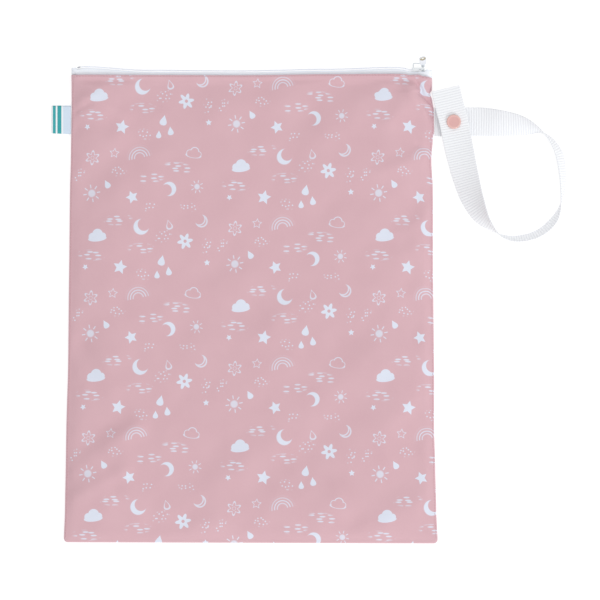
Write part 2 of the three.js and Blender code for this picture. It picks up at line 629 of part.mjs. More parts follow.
// The strap's middle line, each place with the heading and tilt of its section.
const strapUp = 1 - strapDown / bagHeight;
const strapSeamX = max(...[-0.5, 0, 0.5].map((k) => sideX(1, strapUp + (k * strapWidth) / bagHeight)));
const strapMiddle = strapRoute.map((row) => {
  const flat = abs(cos(radians(row.tilt)));
  const stand = (strapWidth / 2) * abs(sin(radians(row.tilt))) + (strapThickness / 2) * flat;
  const raised = row.onBack * lowerStrapBottom + row.onPair * upperStrapBottom;
  const down = (row.down - strapRoute[0].down) * loopDrop;
  const x = strapSeamX + clearance + row.out * loopReach;
  return new THREE.Vector3(x, bagHeight - strapDown - down, stand + raised);
});
const strapCurve = new THREE.CatmullRomCurve3(strapMiddle, false, "catmullrom", 0.5);
const tiltCurve = new THREE.CatmullRomCurve3(
  strapRoute.map((row) => new THREE.Vector3(row.tilt, 0, 0)),
  false,
  "catmullrom",
  0.5,
);

function strapSections() {
  const sections = [];
  const pieces = strapRoute.length - 1;
  for (let piece = 0; piece < pieces; piece++) {
    const steps = ceil(strapMiddle[piece].distanceTo(strapMiddle[piece + 1]) / strapStep);
    for (let k = piece ? 1 : 0; k <= steps; k++) sections.push(strapSection((piece + k / steps) / pieces));
  }
  return sections;
}

function strapSection(t) {
  const middle = strapCurve.getPoint(t);
  const along = strapCurve.getTangent(t);
  const tilt = radians(tiltCurve.getPoint(t).x);
  const level = new THREE.Vector3(-along.y, along.x, 0).normalize();
  const width = level.multiplyScalar(cos(tilt)).add(new THREE.Vector3(0, 0, sin(tilt)));
  width.addScaledVector(along, -width.dot(along)).normalize();
  const face = along.clone().cross(width).normalize();
  const lowest = middle.z - (abs(width.z) * strapWidth + abs(face.z) * strapThickness) / 2;
  middle.z += max(0, -lowest);
  return { middle, width, face };
}

// The snap sits where the free end crosses the middle of the sewn run.
const sections = strapSections();
const crossing = sections.slice(sections.length / 2).find((section) => section.middle.y >= strapMiddle[0].y);
const snapX = crossing.middle.x;
const snapY = strapMiddle[0].y;

function strap() {
  const sheet = (side) => (i, j) => {
    const { middle, width, face } = sections[i];
    const p = middle.clone().addScaledVector(width, (j - 0.5) * strapWidth);
    return p.addScaledVector(face, (side * strapThickness) / 2).toArray();
  };
  const ribbon = solidOf(wallBetween(sections.length, 2, sheet(1), sheet(-1)));
  const hole = new THREE.CylinderGeometry(1, 1, 2 * capBottom, 12);
  hole.scale(snapPostDiameter / 2 + clearance, 1, snapPostDiameter / 2 + clearance).rotateX(PI / 2);
  return geometryOf(ribbon.subtract(solidOf(hole.translate(snapX, snapY, 0))));
}
addPiece("strap", strap(), finishes.webbing);

// The snap: a cap above, a cap below, and between them one plain core, which is the posts through both
// layers and the closed stud and socket.
function turned(profile, bottom) {
  const points = profile.map(([r, z]) => new THREE.Vector2(r, z));
  const geometry = new THREE.LatheGeometry(points, 24).rotateX(PI / 2);
  return geometry.translate(snapX, snapY, bottom);
}
const capRadius = snapDiameter / 2;
const capProfile = (height) => [
  [0, 0],
  [capRadius, 0],
  [capRadius, 0.35 * height],
  [0.9 * capRadius, 0.8 * height],
  [0.7 * capRadius, height],
  [0.3 * capRadius, 0.9 * height],
  [0, 0.86 * height],
];
addPiece("snap_cap", turned(capProfile(snapCapHeight), capBottom), finishes.snap);
const backProfile = capProfile(snapBackHeight).map(([r, z]) => [r, snapBackHeight - z]);
backProfile.reverse();
addPiece("snap_back_cap", turned(backProfile, 0), finishes.snap);

const postRadius = snapPostDiameter / 2;
const coreFrom = snapBackHeight + clearance;
const coreProfile = [
  [0, coreFrom],
  [postRadius, coreFrom],
  [postRadius, pairBottom],
  [snapPairDiameter / 2, pairBottom],
  [snapPairDiameter / 2, pairBottom + snapPairHeight],
  [postRadius, pairBottom + snapPairHeight],
  [postRadius, capBottom - clearance],
  [0, capBottom - clearance],
];
addPiece("snap_core", turned(coreProfile, 0), finishes.snap);

// The folded label: it comes out of the left seam and lies down on its outer, folded end.
const labelUp = 1 - labelDown / bagHeight;
const labelSeamX = min(...[-0.5, 0, 0.5].map((k) => sideX(-1, labelUp + (k * labelWidth) / bagHeight)));
function sideLabel() {
  const steps = 6;
  const sheet = (side) => (i, j) => {
    const share = i / steps;
    const x = labelSeamX - clearance - labelReach * (1 - share);
    const fold = share === 0 ? 0.35 : 1;
    const z = mix(labelThickness / 2, seamHalf, ease(share)) + (side * fold * labelThickness) / 2;
    return [x, bagHeight - labelDown + (j - 0.5) * labelWidth, z];
  };
  return wallBetween(steps + 1, 2, sheet(1), sheet(-1));
}
addPiece("side_label", sideLabel(), finishes.label);

// The origin goes under the middle of the whole bag, strap and label included.
bag.updateMatrixWorld(true);
const bounds = new THREE.Box3().setFromObject(bag, true);
const centre = bounds.getCenter(new THREE.Vector3());
bag.position.set(-centre.x, -centre.y, -bounds.min.z);
bag.updateMatrixWorld(true);

export default bag;
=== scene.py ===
# %% [markdown]
# # A cloth wet bag on a white table
# A wet bag is a flat pouch of printed knit with a waterproof film inside. It has a coil zip along its top
# edge, a webbing strap that snaps back on itself, and a small folded label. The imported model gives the
# place and size of every piece. This lesson gives each piece the surface that the eye expects of it.

import bpy
import numpy as np
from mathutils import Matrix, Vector


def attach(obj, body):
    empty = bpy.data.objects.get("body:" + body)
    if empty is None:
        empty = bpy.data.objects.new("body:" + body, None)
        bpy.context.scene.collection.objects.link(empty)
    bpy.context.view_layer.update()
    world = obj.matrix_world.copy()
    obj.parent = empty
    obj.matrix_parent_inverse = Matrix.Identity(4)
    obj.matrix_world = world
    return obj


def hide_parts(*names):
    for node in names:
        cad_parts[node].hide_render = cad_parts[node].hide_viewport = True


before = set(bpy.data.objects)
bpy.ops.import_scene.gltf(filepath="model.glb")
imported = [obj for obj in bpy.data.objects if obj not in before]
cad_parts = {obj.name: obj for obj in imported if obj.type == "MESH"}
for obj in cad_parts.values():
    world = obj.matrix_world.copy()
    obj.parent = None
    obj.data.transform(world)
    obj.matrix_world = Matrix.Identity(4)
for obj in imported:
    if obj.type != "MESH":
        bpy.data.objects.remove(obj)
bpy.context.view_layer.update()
print("pieces:", list(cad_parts))

# %% [markdown]
# ## Measures
# Everything is worked out in millimetres, in the maker's own layout: the middle of the foot is the zero of
# X and Y, and the table is the zero of Z. One function turns that into metres in the model's frame.

# %% Measures of the bag
table_zero = np.array([-48.9066, -203.4379, 0.0])
gap = 0.3
width_top, width_foot, height = 303.0, 314.0, 400.0
seam_half, mouth_seam_half = 1.5, 2.9
crown, mouth_height = 8.6, 7.8
zip_band = 6.2
corner_round = 3.4
cloth_thick, tape_thick = 0.6, 0.6


def in_metres(points):
    """Millimetres in the maker's layout, moved to the model's frame and divided by a thousand."""
    return (points + table_zero) / 1000


print("the zip's middle is at", in_metres(np.array([0.85, height, mouth_height / 2])).round(4))

# %% [markdown]
# ## The outline
# The side edges and the zip edge wander a few millimetres, as soft cloth does. Each is a short table read
# along the edge, with an S-shaped blend from one row to the next, so the edge has no corners.

# %% The outline as tables
side_up = [0, 0.066, 0.153, 0.237, 0.373, 0.552, 0.743, 0.799, 0.849, 0.86, 0.906, 0.925, 0.9432, 0.949, 1]
left_in = [0, 17, 20, 20, 40, 28, 17, 26, 26, 26, 26, 22, 18, 16, 0]
right_in = [0, 26, 41, 58, 40, 40, 19, 50, 5, -35, -35, 3, 58, 10, 0]
top_across = [0, 0.036, 0.211, 0.466, 0.715, 0.895, 0.958, 0.98, 1]
top_drop = [0.23, 0, 0.49, 0.57, 0.35, 0.09, 0.44, 0.44, 0.53]
top_band = [1, 1.2, 0.75, 0.72, 0.8, 1, 0.74, 1, 1.11]


def ease(t):
    """An S from 0 to 1: three t squared less two t cubed, held flat outside."""
    t = np.clip(t, 0, 1)
    return t * t * (3 - 2 * t)


def swell(t):
    """A quarter of a sine from 0 to 1, held flat outside."""
    return np.sin(np.pi / 2 * np.clip(t, 0, 1))


def read_table(places, values, at):
    """The value at a place: an eased blend of the rows on each side of it."""
    places, values = np.asarray(places, float), np.asarray(values, float)
    after = np.clip(np.searchsorted(places, at), 1, len(places) - 1)
    share = (at - places[after - 1]) / (places[after] - places[after - 1])
    return values[after - 1] + (values[after] - values[after - 1]) * ease(share)


def side_x(side, up):
    """Half the tapering width out from the middle line, less what the table takes in, on one side."""
    straight = side * (width_foot + (width_top - width_foot) * up) / 2 + 0.85 * up
    return straight - side * read_table(side_up, left_in if side < 0 else right_in, up) * width_foot / 1e4


slider_across = 1 - 11.7 / width_top


def by_slider(across):
    """Shares along the zip, drawn together at the slider, where the zip runs straight."""
    away = np.abs(across - slider_across) * width_top - 10.9 / 2
    return slider_across + (across - slider_across) * ease(away / 5)


def zip_top(across):
    """Height on the page of the zip's top edge: the full height less the table's drop."""
    return height - zip_band * read_table(top_across, top_drop, by_slider(across))


def panel_top(across):
    """The cloth's top edge: the zip's top less the band of tape that shows."""
    return zip_top(across) - zip_band * read_table(top_across, top_band, across)


ends = np.array([0.02, 0.98])
print("band of tape at both ends, mm:", (zip_top(ends) - panel_top(ends)).round(1))

# %% [markdown]
# ## The cloth as one function
# The cloth is a function of two shares: across, from the left seam to the right, and up, from the foot to
# the zip. It rises in a quarter round at the seams, swells to the crown, and carries folds, which are
# round-ended ridges and grooves along short lines.

# %% Folds of the upper panel
# Each row: start and end as shares across and up, then width over the bag's, and rise over the crown.
fold_rows = np.array([
    [0.956, 0.985, 0.995, 0.944, 0.006, -0.20],
    [0.935, 0.975, 0.972, 0.925, 0.018, 0.14],
    [0.982, 0.936, 0.998, 0.913, 0.007, -0.12],
    [0.960, 0.850, 0.997, 0.845, 0.009, -0.08],
    [0.000, 0.920, 0.050, 0.940, 0.012, -0.12],
    [0.030, 0.893, 0.105, 0.895, 0.030, -0.12],
    [0.050, 0.947, 0.140, 0.915, 0.022, 0.09],
    [0.075, 0.210, 0.135, 0.130, 0.025, -0.11],
    [0.150, 0.225, 0.170, 0.165, 0.022, 0.09],
    [0.040, 0.425, 0.110, 0.260, 0.030, -0.10],
    [0.965, 0.620, 0.960, 0.500, 0.025, 0.09],
    [0.020, 0.155, 0.190, 0.250, 0.026, 0.14],
    [0.010, 0.090, 0.145, 0.150, 0.022, 0.11],
    [0.010, 0.930, 0.080, 0.965, 0.020, 0.12],
    [0.880, 0.900, 0.935, 0.960, 0.024, 0.12],
    [0.860, 0.790, 0.975, 0.830, 0.022, 0.10],
    [0.900, 0.660, 0.985, 0.700, 0.022, 0.09],
])
# Creases are sharper. Their width and rise are in millimetres.
crease_rows = np.array([
    [0.9530, 0.980, 0.9750, 0.955, 1.00, -1.9],
    [0.9750, 0.955, 0.9970, 0.937, 0.90, -2.4],
    [0.9830, 0.928, 0.9990, 0.906, 1.00, -1.8],
    [0.0000, 0.915, 0.0500, 0.938, 1.60, -0.6],
    [0.9650, 0.846, 0.9980, 0.850, 0.90, -0.5],
    [0.9680, 0.833, 0.9980, 0.828, 1.10, -0.4],
])


def beside_lines(rows, across, up):
    """For each row's line, every point's share along it and its distance from it in millimetres."""
    size = np.array([width_top, height])
    place = np.stack([across, up], axis=-1)[..., None, :] * size
    start, line = rows[:, :2] * size, (rows[:, 2:4] - rows[:, :2]) * size
    along = np.clip(((place - start) * line).sum(-1) / (line ** 2).sum(-1), 0, 1)
    return along, np.linalg.norm(place - start - along[..., None] * line, axis=-1)


def fold_lift(across, up):
    """Sum over the folds of rise times a bell curve of the distance from the fold's line."""
    away = beside_lines(fold_rows, across, up)[1] / (fold_rows[:, 4] * width_top)
    return (fold_rows[:, 5] * crown * np.exp(-away ** 2)).sum(-1)


def crease_lift(across, up):
    """Sum over the creases of rise times e to the minus distance over width, fading at both ends."""
    along, away = beside_lines(crease_rows, across, up)
    fade = 0.35 + 0.65 * ease(along * 4) * ease((1 - along) * 6 + 0.4)
    return (crease_rows[:, 5] * np.exp(-away / crease_rows[:, 4]) * fade).sum(-1)


def hills(x, y, spacing, seed):
    """Gentle hills from -1 to 1: random heights on a square net, with eased blends between them."""
    net = np.random.default_rng(seed).uniform(-1, 1, (97, 97))
    column, row = x / spacing + 40.37, y / spacing + 11.71
    i, j = np.floor(column).astype(int), np.floor(row).astype(int)
    s, t = ease(column - i), ease(row - j)
    near, far = net[i % 97, j % 97] * (1 - s), net[(i + 1) % 97, j % 97] * s
    near_up, far_up = net[i % 97, (j + 1) % 97] * (1 - s), net[(i + 1) % 97, (j + 1) % 97] * s
    return (near + far) * (1 - t) + (near_up + far_up) * t


# %% The cloth's small relief, in millimetres
seam_pucker, zip_pucker = 0.28, 0.22
hem_roll, hem_drop, hem_drop_at_seam = 1.5, 1.5, 0.9
stitch_line, stitch_groove = 1.3, 0.12
broad_wave, small_wave = 1.9, 0.55
foot_swell, zip_dip = 1.1, 1.3


# %% The two panels as functions
def near_mouth(y, length):
    """1 at the zip, eased to 0 that length below it."""
    return ease(1 - (height - zip_band - y) / length)


def across_swell(across, y):
    """Quarter-sine rise from both side seams, shorter at the zip, where the coil holds the panels apart."""
    ramp = 45 + (5 - 45) * near_mouth(y, 50)
    return swell(across * width_top / ramp) * swell((1 - across) * width_top / ramp)


def cloth_plan(across, up):
    """Place on the page of a point of cloth. In the foot's corners, squares become quarter circles."""
    foot = -across
    y = foot + (panel_top(across) - foot) * up
    left, right = side_x(-1, y / height), side_x(1, y / height)
    x = left + (right - left) * across
    to_side, to_foot = np.minimum(x - left, right - x), y - foot
    a, b = corner_round - to_side, corner_round - to_foot
    reach = np.maximum(a, b)
    small = np.minimum(a, b) / np.maximum(reach, 1e-9)
    angle = np.where(a >= b, np.pi / 4 * small, np.pi / 2 - np.pi / 4 * small)
    inward = np.where(x - left < right - x, 1, -1)
    round_x = np.where(inward > 0, left, right) + inward * (corner_round - reach * np.cos(angle))
    round_y = foot + corner_round - reach * np.sin(angle)
    corner = (a > 0) & (b > 0)
    edge = np.minimum(to_side, to_foot)
    return np.where(corner, round_x, x), np.where(corner, round_y, y), edge, to_foot


def cloth(across, up, upper):
    """A panel's outer face: quarter round at the seam, then the swell, the folds and the small puckers."""
    x, y, edge, to_foot = cloth_plan(across, up)
    seam = seam_half + (mouth_seam_half - seam_half) * near_mouth(y, 30)
    rim = np.clip(edge / seam, 0, 1)
    from_seam = gap / 2 + (seam - gap / 2) * np.sqrt(1 - (1 - rim) ** 2)
    below_zip = panel_top(across) - y
    # Puckers run in from the seams and the zip, and fade out 6 and 9 mm away.
    puckers = seam_pucker * hills(x * 0.45, y, 5.5, 3) * np.exp(-edge / 6) * ease(edge / 2)
    puckers += zip_pucker * hills(x, y * 0.4, 6.5, 4) * np.exp(-below_zip / 9) * ease(edge / 6)
    # The hem rolls down onto the tape in a quarter oval, and its stitches press a groove.
    drop = hem_drop_at_seam + (hem_drop - hem_drop_at_seam) * ease(edge / 5)
    hem = -drop * (1 - np.sqrt(1 - (1 - np.clip(below_zip / hem_roll, 0, 1)) ** 2))
    groove = -stitch_groove * np.exp(-((below_zip - stitch_line) / 0.45) ** 2) * ease(edge / 3)
    if not upper:
        waves = 0.3 * (1 + hills(x, y, 38, 8)) * ease(edge / 30)
        return np.stack([x, y, np.maximum(seam - from_seam + waves - hem - groove + puckers, 0)], axis=-1)
    over_mouth = crown + (mouth_height - crown) * near_mouth(y, 50)
    rise = (over_mouth - 2 * seam) * across_swell(across, y) * swell(to_foot / 45)
    free = ease(edge / 7.5) * ease((below_zip - 3.5) / zip_band)
    # Long waves lie aslant at 40 degrees, as in a bag that was folded, with small round ones among them.
    slant_x, slant_y = 0.77 * x + 0.64 * y, 0.77 * y - 0.64 * x
    waves = broad_wave * hills(0.5 * slant_x, slant_y, 24, 1) + small_wave * hills(x, y, 13, 2)
    waves *= free * ease(edge / 18) * (0.6 + 0.6 * np.exp(-edge / 60))
    # The cloth lifts at the foot and dips behind the hem.
    dip = zip_dip * ease(below_zip / 5.5) * np.exp(-(np.maximum(below_zip - 5.5, 0) / 14) ** 2)
    waves += (foot_swell * ease(to_foot / 5) - dip) * ease(edge / 9)
    creases = crease_lift(across, up) * ease(edge / 4) * ease(below_zip / 5)
    relief = 1.5 * fold_lift(across, up) * free + creases
    z = seam + from_seam + rise + relief + waves + hem + groove + puckers
    return np.stack([x, y, z], axis=-1)


def places_along(length, start, end, step):
    """Shares from 0 to 1: given places near each end, and even steps between them."""
    middle = np.linspace(start[-1], length - end[-1], int(np.ceil((length - start[-1] - end[-1]) / step)) + 1)
    return np.concatenate([start[:-1], middle, length - np.array(end[-2::-1])]) / length


rim_places = [0, 0.1, 0.3, 0.6, 1.0, 1.5, 2.1, 2.8, 3.6, 4.6, 6.0]
right_places = rim_places + [round(6.0 + 0.75 * k, 2) for k in range(1, 20)]
zip_places = [0, 0.15, 0.35, 0.6, 0.85, 1.1, 1.35, 1.6, 1.95, 2.4, 3.0, 3.6, 4.3, 5.0]
zip_places = zip_places + [round(5.0 + 0.8 * k, 2) for k in range(1, 50)]
cloth_across = places_along(width_top, rim_places, right_places, 2.2)
cloth_up = places_along(height, rim_places, zip_places, 2.2)
print("cloth grid:", len(cloth_across), "by", len(cloth_up))

# %% [markdown]
# ## From numbers to a mesh
# A grid of points becomes a mesh of four-sided faces. Each panel is one open sheet, and Blender's Solidify
# modifier gives it the thickness of cloth. A UV map in metres lets the print follow the cloth.

# %% Helpers that make meshes
def grid_faces(rows, columns, wrap=False, ring=False):
    """The four corners of each cell of a grid. With wrap, the last column joins the first. With ring, the
    last row joins the first too."""
    down, over = rows if ring else rows - 1, columns if wrap else columns - 1
    i, j = np.meshgrid(np.arange(down), np.arange(over), indexing="ij")
    n, k = (i + 1) % rows, (j + 1) % columns
    cells = [i * columns + j, i * columns + k, n * columns + k, n * columns + j]
    return np.stack(cells, axis=-1).reshape(-1, 4)


def make_piece(name, points, faces, material, uv=None):
    """A mesh object at the origin from points in the maker's millimetres, faces and a UV for each point."""
    mesh = bpy.data.meshes.new(name)
    mesh.from_pydata(in_metres(points.reshape(-1, 3)).tolist(), [], [list(map(int, face)) for face in faces])
    mesh.shade_smooth()
    if uv is not None:
        corners = np.empty(len(mesh.loops), int)
        mesh.loops.foreach_get("vertex_index", corners)
        mesh.uv_layers.new(name="cut").data.foreach_set("uv", uv.reshape(-1, 2)[corners].ravel() / 1000)
    mesh.materials.append(material)
    piece = bpy.data.objects.new(name, mesh)
    bpy.context.collection.objects.link(piece)
    return piece


def thicken(piece, thickness, offset):
    """Gives an open sheet its thickness, in millimetres, with a closed rim."""
    wall = piece.modifiers.new("wall", "SOLIDIFY")
    wall.thickness, wall.offset = thickness / 1000, offset


# %% [markdown]
# ## One way to add a node
# Every finish below is built with this one function. It makes a node, sets its properties, and fills or
# links its inputs. Colours are written as they look on a screen and turned to the linear light that
# Blender works with.

# %% Colours and nodes
def light(hex_colour):
    """Screen colour to linear light: the standard curve on each of the three channels."""
    channels = [int(hex_colour[k:k + 2], 16) / 255 for k in (1, 3, 5)]
    return [c / 12.92 if c <= 0.04045 else ((c + 0.055) / 1.055) ** 2.4 for c in channels] + [1]


def add(tree, kind, *inputs, **settings):
    """Adds one node. A second word in its kind is its operation. Its inputs come in order, or by name in a
    dict. Each is a value, a socket, or a node, which stands for its first output."""
    kind, *operation = kind.split()
    node = tree.nodes.new("ShaderNode" + kind)
    if operation:
        node.operation = operation[0]
    for name, value in settings.items():
        setattr(node, name, value)
    named = inputs[0] if inputs and isinstance(inputs[0], dict) else dict(enumerate(inputs))
    for name, value in named.items():
        if isinstance(value, bpy.types.Node):
            value = value.outputs[0]
        if isinstance(value, bpy.types.NodeSocket):
            tree.links.new(value, node.inputs[name])
        else:
            node.inputs[name].default_value = value
    return node


def finish(name, **settings):
    """A new material, its node tree and its main shader with constant settings."""
    material = bpy.data.materials.new(name)
    material.use_nodes = True
    shader = material.node_tree.nodes["Principled BSDF"]
    for key, value in settings.items():
        shader.inputs[key.replace("_", " ")].default_value = value
    return material, material.node_tree, shader


def lay(tree, shader, colour, height=None, strength=0.0, depth=0.0):
    """Gives a shader its colour and, by way of a bump that is so many millimetres deep, its relief."""
    tree.links.new(colour.outputs[0], shader.inputs["Base Color"])
    if height is not None:
        bump = add(tree, "Bump", {"Height": height, "Strength": strength, "Distance": depth / 1000})
        tree.links.new(bump.outputs[0], shader.inputs["Normal"])


def mottled(tree, where, scale, detail, dark, pale):
    """Two shades of one colour, mixed by a noise, because no real surface is quite even."""
    noise = add(tree, "TexNoise", {"Vector": where, "Scale": scale, "Detail": detail})
    return add(tree, "MixRGB", noise, light(dark), light(pale))


# %% [markdown]
# ## The print
# The knit is printed with small pale nursery motifs, tossed at many angles. Here they are a generic set:
# clouds, moons, stars, flowers, arcs, suns and drops, with clusters of strewn dots and dashes. Each motif
# is a sum that is under 1 inside its outline, and the smallest sum of all says whether there is ink. One
# repeat is 124 by 118 mm, and each next column drops by half a repeat, as printed cloth often does.

# %% Motifs as node sums
def moved(tree, place, x, y, turn, wide, high):
    """The place as the motif sees it: moved to its middle, turned upright, and divided by its size."""
    spin = (0, 0, np.radians(turn))
    inputs = {"Vector": place, "Location": (x, y, 0), "Rotation": spin, "Scale": (wide, high, 1)}
    return add(tree, "Mapping", inputs, vector_type="TEXTURE")


def angle_of(tree, local):
    """The angle round the motif's middle."""
    parts = add(tree, "SeparateXYZ", local)
    return add(tree, "Math ARCTAN2", parts.outputs[1], parts.outputs[0])


def oval(tree, place, x, y, turn, wide, high):
    """Distance over radius: 1 on an oval's rim."""
    return add(tree, "VectorMath LENGTH", moved(tree, place, x, y, turn, wide, high)).outputs[1]


def smallest(tree, sums):
    """The union of several outlines: a running smallest sum, so few numbers are held at a time."""
    total = None
    for each in sums:
        total = each if total is None else add(tree, "Math MINIMUM", total, each)
    return total


def part_of(tree, place, x, y, turn, rows):
    """Several ovals of one motif, each row giving its offset, turn and radii in the motif's own frame."""
    cos, sin = np.cos(np.radians(turn)), np.sin(np.radians(turn))
    sums = (oval(tree, place, x + dx * cos - dy * sin, y + dx * sin + dy * cos, turn + spin, wide, high)
            for dx, dy, spin, wide, high in rows)
    return smallest(tree, sums)


def cloud(tree, place, x, y, turn, size):
    """A flat oval with three round lobes on it."""
    rows = [(0, -2.2, 0, 8.6, 2.7), (-4.3, 0, 0, 3.7, 3.5), (0.6, 2.0, 0, 4.9, 4.7), (5.2, -0.2, 0, 3.2, 3.0)]
    return part_of(tree, place, x, y, turn, np.array(rows) * [size, size, 1, size, size])


def moon(tree, place, x, y, turn, size):
    """A disc less a second disc beside it."""
    disc = oval(tree, place, x, y, turn, size, size)
    shift = 0.48 * size
    bite_x, bite_y = x + shift * np.cos(np.radians(turn)), y + shift * np.sin(np.radians(turn))
    bite = oval(tree, place, bite_x, bite_y, turn, 0.82 * size, 0.82 * size)
    return add(tree, "Math MAXIMUM", disc, add(tree, "Math SUBTRACT", 2.0, bite))


def star(tree, place, x, y, turn, size):
    """Five points: the angle folds to one half point, whose edge is a straight line."""
    notch = 0.5 * np.array([np.cos(np.pi / 5), np.sin(np.pi / 5)])
    normal = np.array([notch[1], 1 - notch[0]]) / np.hypot(notch[1], 1 - notch[0])
    scale = size * normal[0]
    local = moved(tree, place, x, y, turn, scale, scale)
    folded = add(tree, "Math PINGPONG", angle_of(tree, local), np.pi / 5)
    slope = add(tree, "Math COSINE", add(tree, "Math SUBTRACT", folded, np.arctan2(normal[1], normal[0])))
    return add(tree, "Math MULTIPLY", add(tree, "VectorMath LENGTH", local).outputs[1], slope)


def flower(tree, place, x, y, turn, size):
    """A rim that waves six times round, less a round middle."""
    local = moved(tree, place, x, y, turn, size, size)
    around = add(tree, "Math COSINE", add(tree, "Math MULTIPLY", angle_of(tree, local), 6.0))
    rim = add(tree, "Math MULTIPLY_ADD", around, 0.24, 0.76)
    far = add(tree, "VectorMath LENGTH", local).outputs[1]
    middle = add(tree, "Math MULTIPLY_ADD", far, -1 / 0.2, 2.0)
    return add(tree, "Math MAXIMUM", add(tree, "Math DIVIDE", far, rim), middle)


def arcs(tree, place, x, y, turn, size):
    """Three thin half rings, one inside the other."""
    local = moved(tree, place, x, y, turn, size, size)
    far = add(tree, "VectorMath LENGTH", local).outputs[1]
    from_ring = add(tree, "Math PINGPONG", add(tree, "Math SUBTRACT", far, 0.46), 0.12)
    lines = add(tree, "Math DIVIDE", from_ring, 0.05)
    inner = add(tree, "Math MULTIPLY_ADD", far, -1 / 0.4, 2.0)
    upright = add(tree, "SeparateXYZ", local).outputs[1]
    below = add(tree, "Math MULTIPLY_ADD", upright, -10.0, 1.0)
    outer = add(tree, "Math MAXIMUM", far, inner)
    return add(tree, "Math MAXIMUM", add(tree, "Math MAXIMUM", lines, outer), below)


def sun(tree, place, x, y, turn, size):
    """A disc, and eight short rays in the folded angle."""
    local = moved(tree, place, x, y, turn, size, size)
    far = add(tree, "VectorMath LENGTH", local).outputs[1]
    folded = add(tree, "Math PINGPONG", angle_of(tree, local), np.pi / 8)
    aside = add(tree, "Math DIVIDE", add(tree, "Math MULTIPLY", far, add(tree, "Math SINE", folded)), 0.065)
    reach = add(tree, "Math DIVIDE", add(tree, "Math ABSOLUTE", add(tree, "Math SUBTRACT", far, 0.8)), 0.2)
    rays = add(tree, "Math MAXIMUM", aside, reach)
    return add(tree, "Math MINIMUM", rays, add(tree, "Math DIVIDE", far, 0.42))


def drop(tree, place, x, y, turn, size):
    """A circle that narrows upwards to a tip: its width shrinks with height."""
    local = moved(tree, place, x, y, turn, size, size)
    parts = add(tree, "SeparateXYZ", local)
    room = add(tree, "Math MAXIMUM", add(tree, "Math MULTIPLY_ADD", parts.outputs[1], -0.5, 0.52), 0.02)
    aside = add(tree, "Math DIVIDE", parts.outputs[0], room)
    return add(tree, "VectorMath LENGTH", add(tree, "CombineXYZ", aside, parts.outputs[1])).outputs[1]


def outline(motif, thin):
    """The same motif drawn as a line: how far its sum is from just under 1, over the line's half width."""
    def drawn(tree, place, *seat):
        off = add(tree, "Math ABSOLUTE", add(tree, "Math SUBTRACT", motif(tree, place, *seat), 1 - thin))
        return add(tree, "Math DIVIDE", off, thin)
    return drawn


def scattered(tree, place, clusters, cell, reach):
    """Small ovals strewn at random, one to a cell, and only inside the clusters' own ovals."""
    cells = add(tree, "Mapping", {"Vector": place, "Scale": (1 / cell[0], 1 / cell[1], 1)})
    spread = {"Vector": cells, "Scale": 1.0, "Randomness": 0.75}
    strewn = add(tree, "TexVoronoi", spread, voronoi_dimensions="2D")
    inside = smallest(tree, (oval(tree, place, *row) for row in clusters))
    return add(tree, "Math MAXIMUM", inside, add(tree, "Math DIVIDE", strewn.outputs["Distance"], reach))


# %% Where the motifs lie in one repeat
repeat_wide, repeat_high = 124.0, 118.0
solid_motifs = [
    (cloud, 22, 98, 6, 0.92), (moon, 60, 106, 40, 6.6), (flower, 98, 94, 10, 6.8), (star, 42, 72, 5, 6.2),
    (moon, 84, 20, 200, 6.0), (star, 52, 13, 40, 5.6), (drop, 78, 78, -12, 4.6), (drop, 84, 69, 8, 3.8),
    (drop, 74, 66, 0, 3.4), (star, 117, 76, 20, 2.8), (star, 12, 72, 50, 2.6), (drop, 30, 24, 30, 3.8),
]
line_motifs = [
    (arcs, 58, 46, 12, 9.6), (sun, 17, 16, 10, 7.4), (sun, 108, 22, 30, 5.6),
    (outline(cloud, 0.11), 105, 50, -8, 0.82),
    (outline(flower, 0.12), 17, 46, 25, 6.4), (outline(star, 0.13), 36, 50, 12, 4.6),
    (outline(drop, 0.16), 84, 108, 15, 4.4), (outline(moon, 0.12), 112, 111, 140, 5.4),
]
dot_clusters = [
    (79, 98, 20, 7.0, 4.4), (40, 35, 10, 6.4, 4.0), (67, 5, 15, 6.2, 3.4), (117, 90, 80, 7.0, 4.0),
    (6, 31, 60, 6.0, 3.8), (101, 5, -10, 7.0, 3.4), (62, 66, -20, 6.0, 4.0),
]
dash_clusters = [
    (40, 112, 5, 11.0, 4.4), (92, 38, -8, 11.6, 4.2), (60, 88, 0, 10.4, 4.0), (68, 29, 6, 11.0, 3.8),
    (17, 82, -5, 10.6, 4.0),
]
print("motifs in one repeat:", len(solid_motifs) + len(line_motifs) + len(dot_clusters) + len(dash_clusters))


def repeat_place(tree, cut):
    """The place within one repeat, in millimetres, with every second column dropped by half a repeat."""
    parts = add(tree, "SeparateXYZ", add(tree, "VectorMath MULTIPLY", cut, (1000, 1000, 0)))
    column = add(tree, "Math FLOOR", add(tree, "Math DIVIDE", parts.outputs[0], repeat_wide))
    dropped = add(tree, "Math MULTIPLY_ADD", column, repeat_high / 2, parts.outputs[1])
    x = add(tree, "Math FLOORED_MODULO", parts.outputs[0], repeat_wide)
    y = add(tree, "Math FLOORED_MODULO", dropped, repeat_high)
    return add(tree, "CombineXYZ", x, y)


# %% [markdown]
# ## Printed knit
# The cloth is a fine polyester knit, brushed soft and backed with film. It is matt, and its loops are 0.6 mm
# apart, too fine to show, so they are drawn twice as coarse and very shallow. The dye is a soft old pink,
# and the ink soaks in, so a motif's edge is not quite sharp.

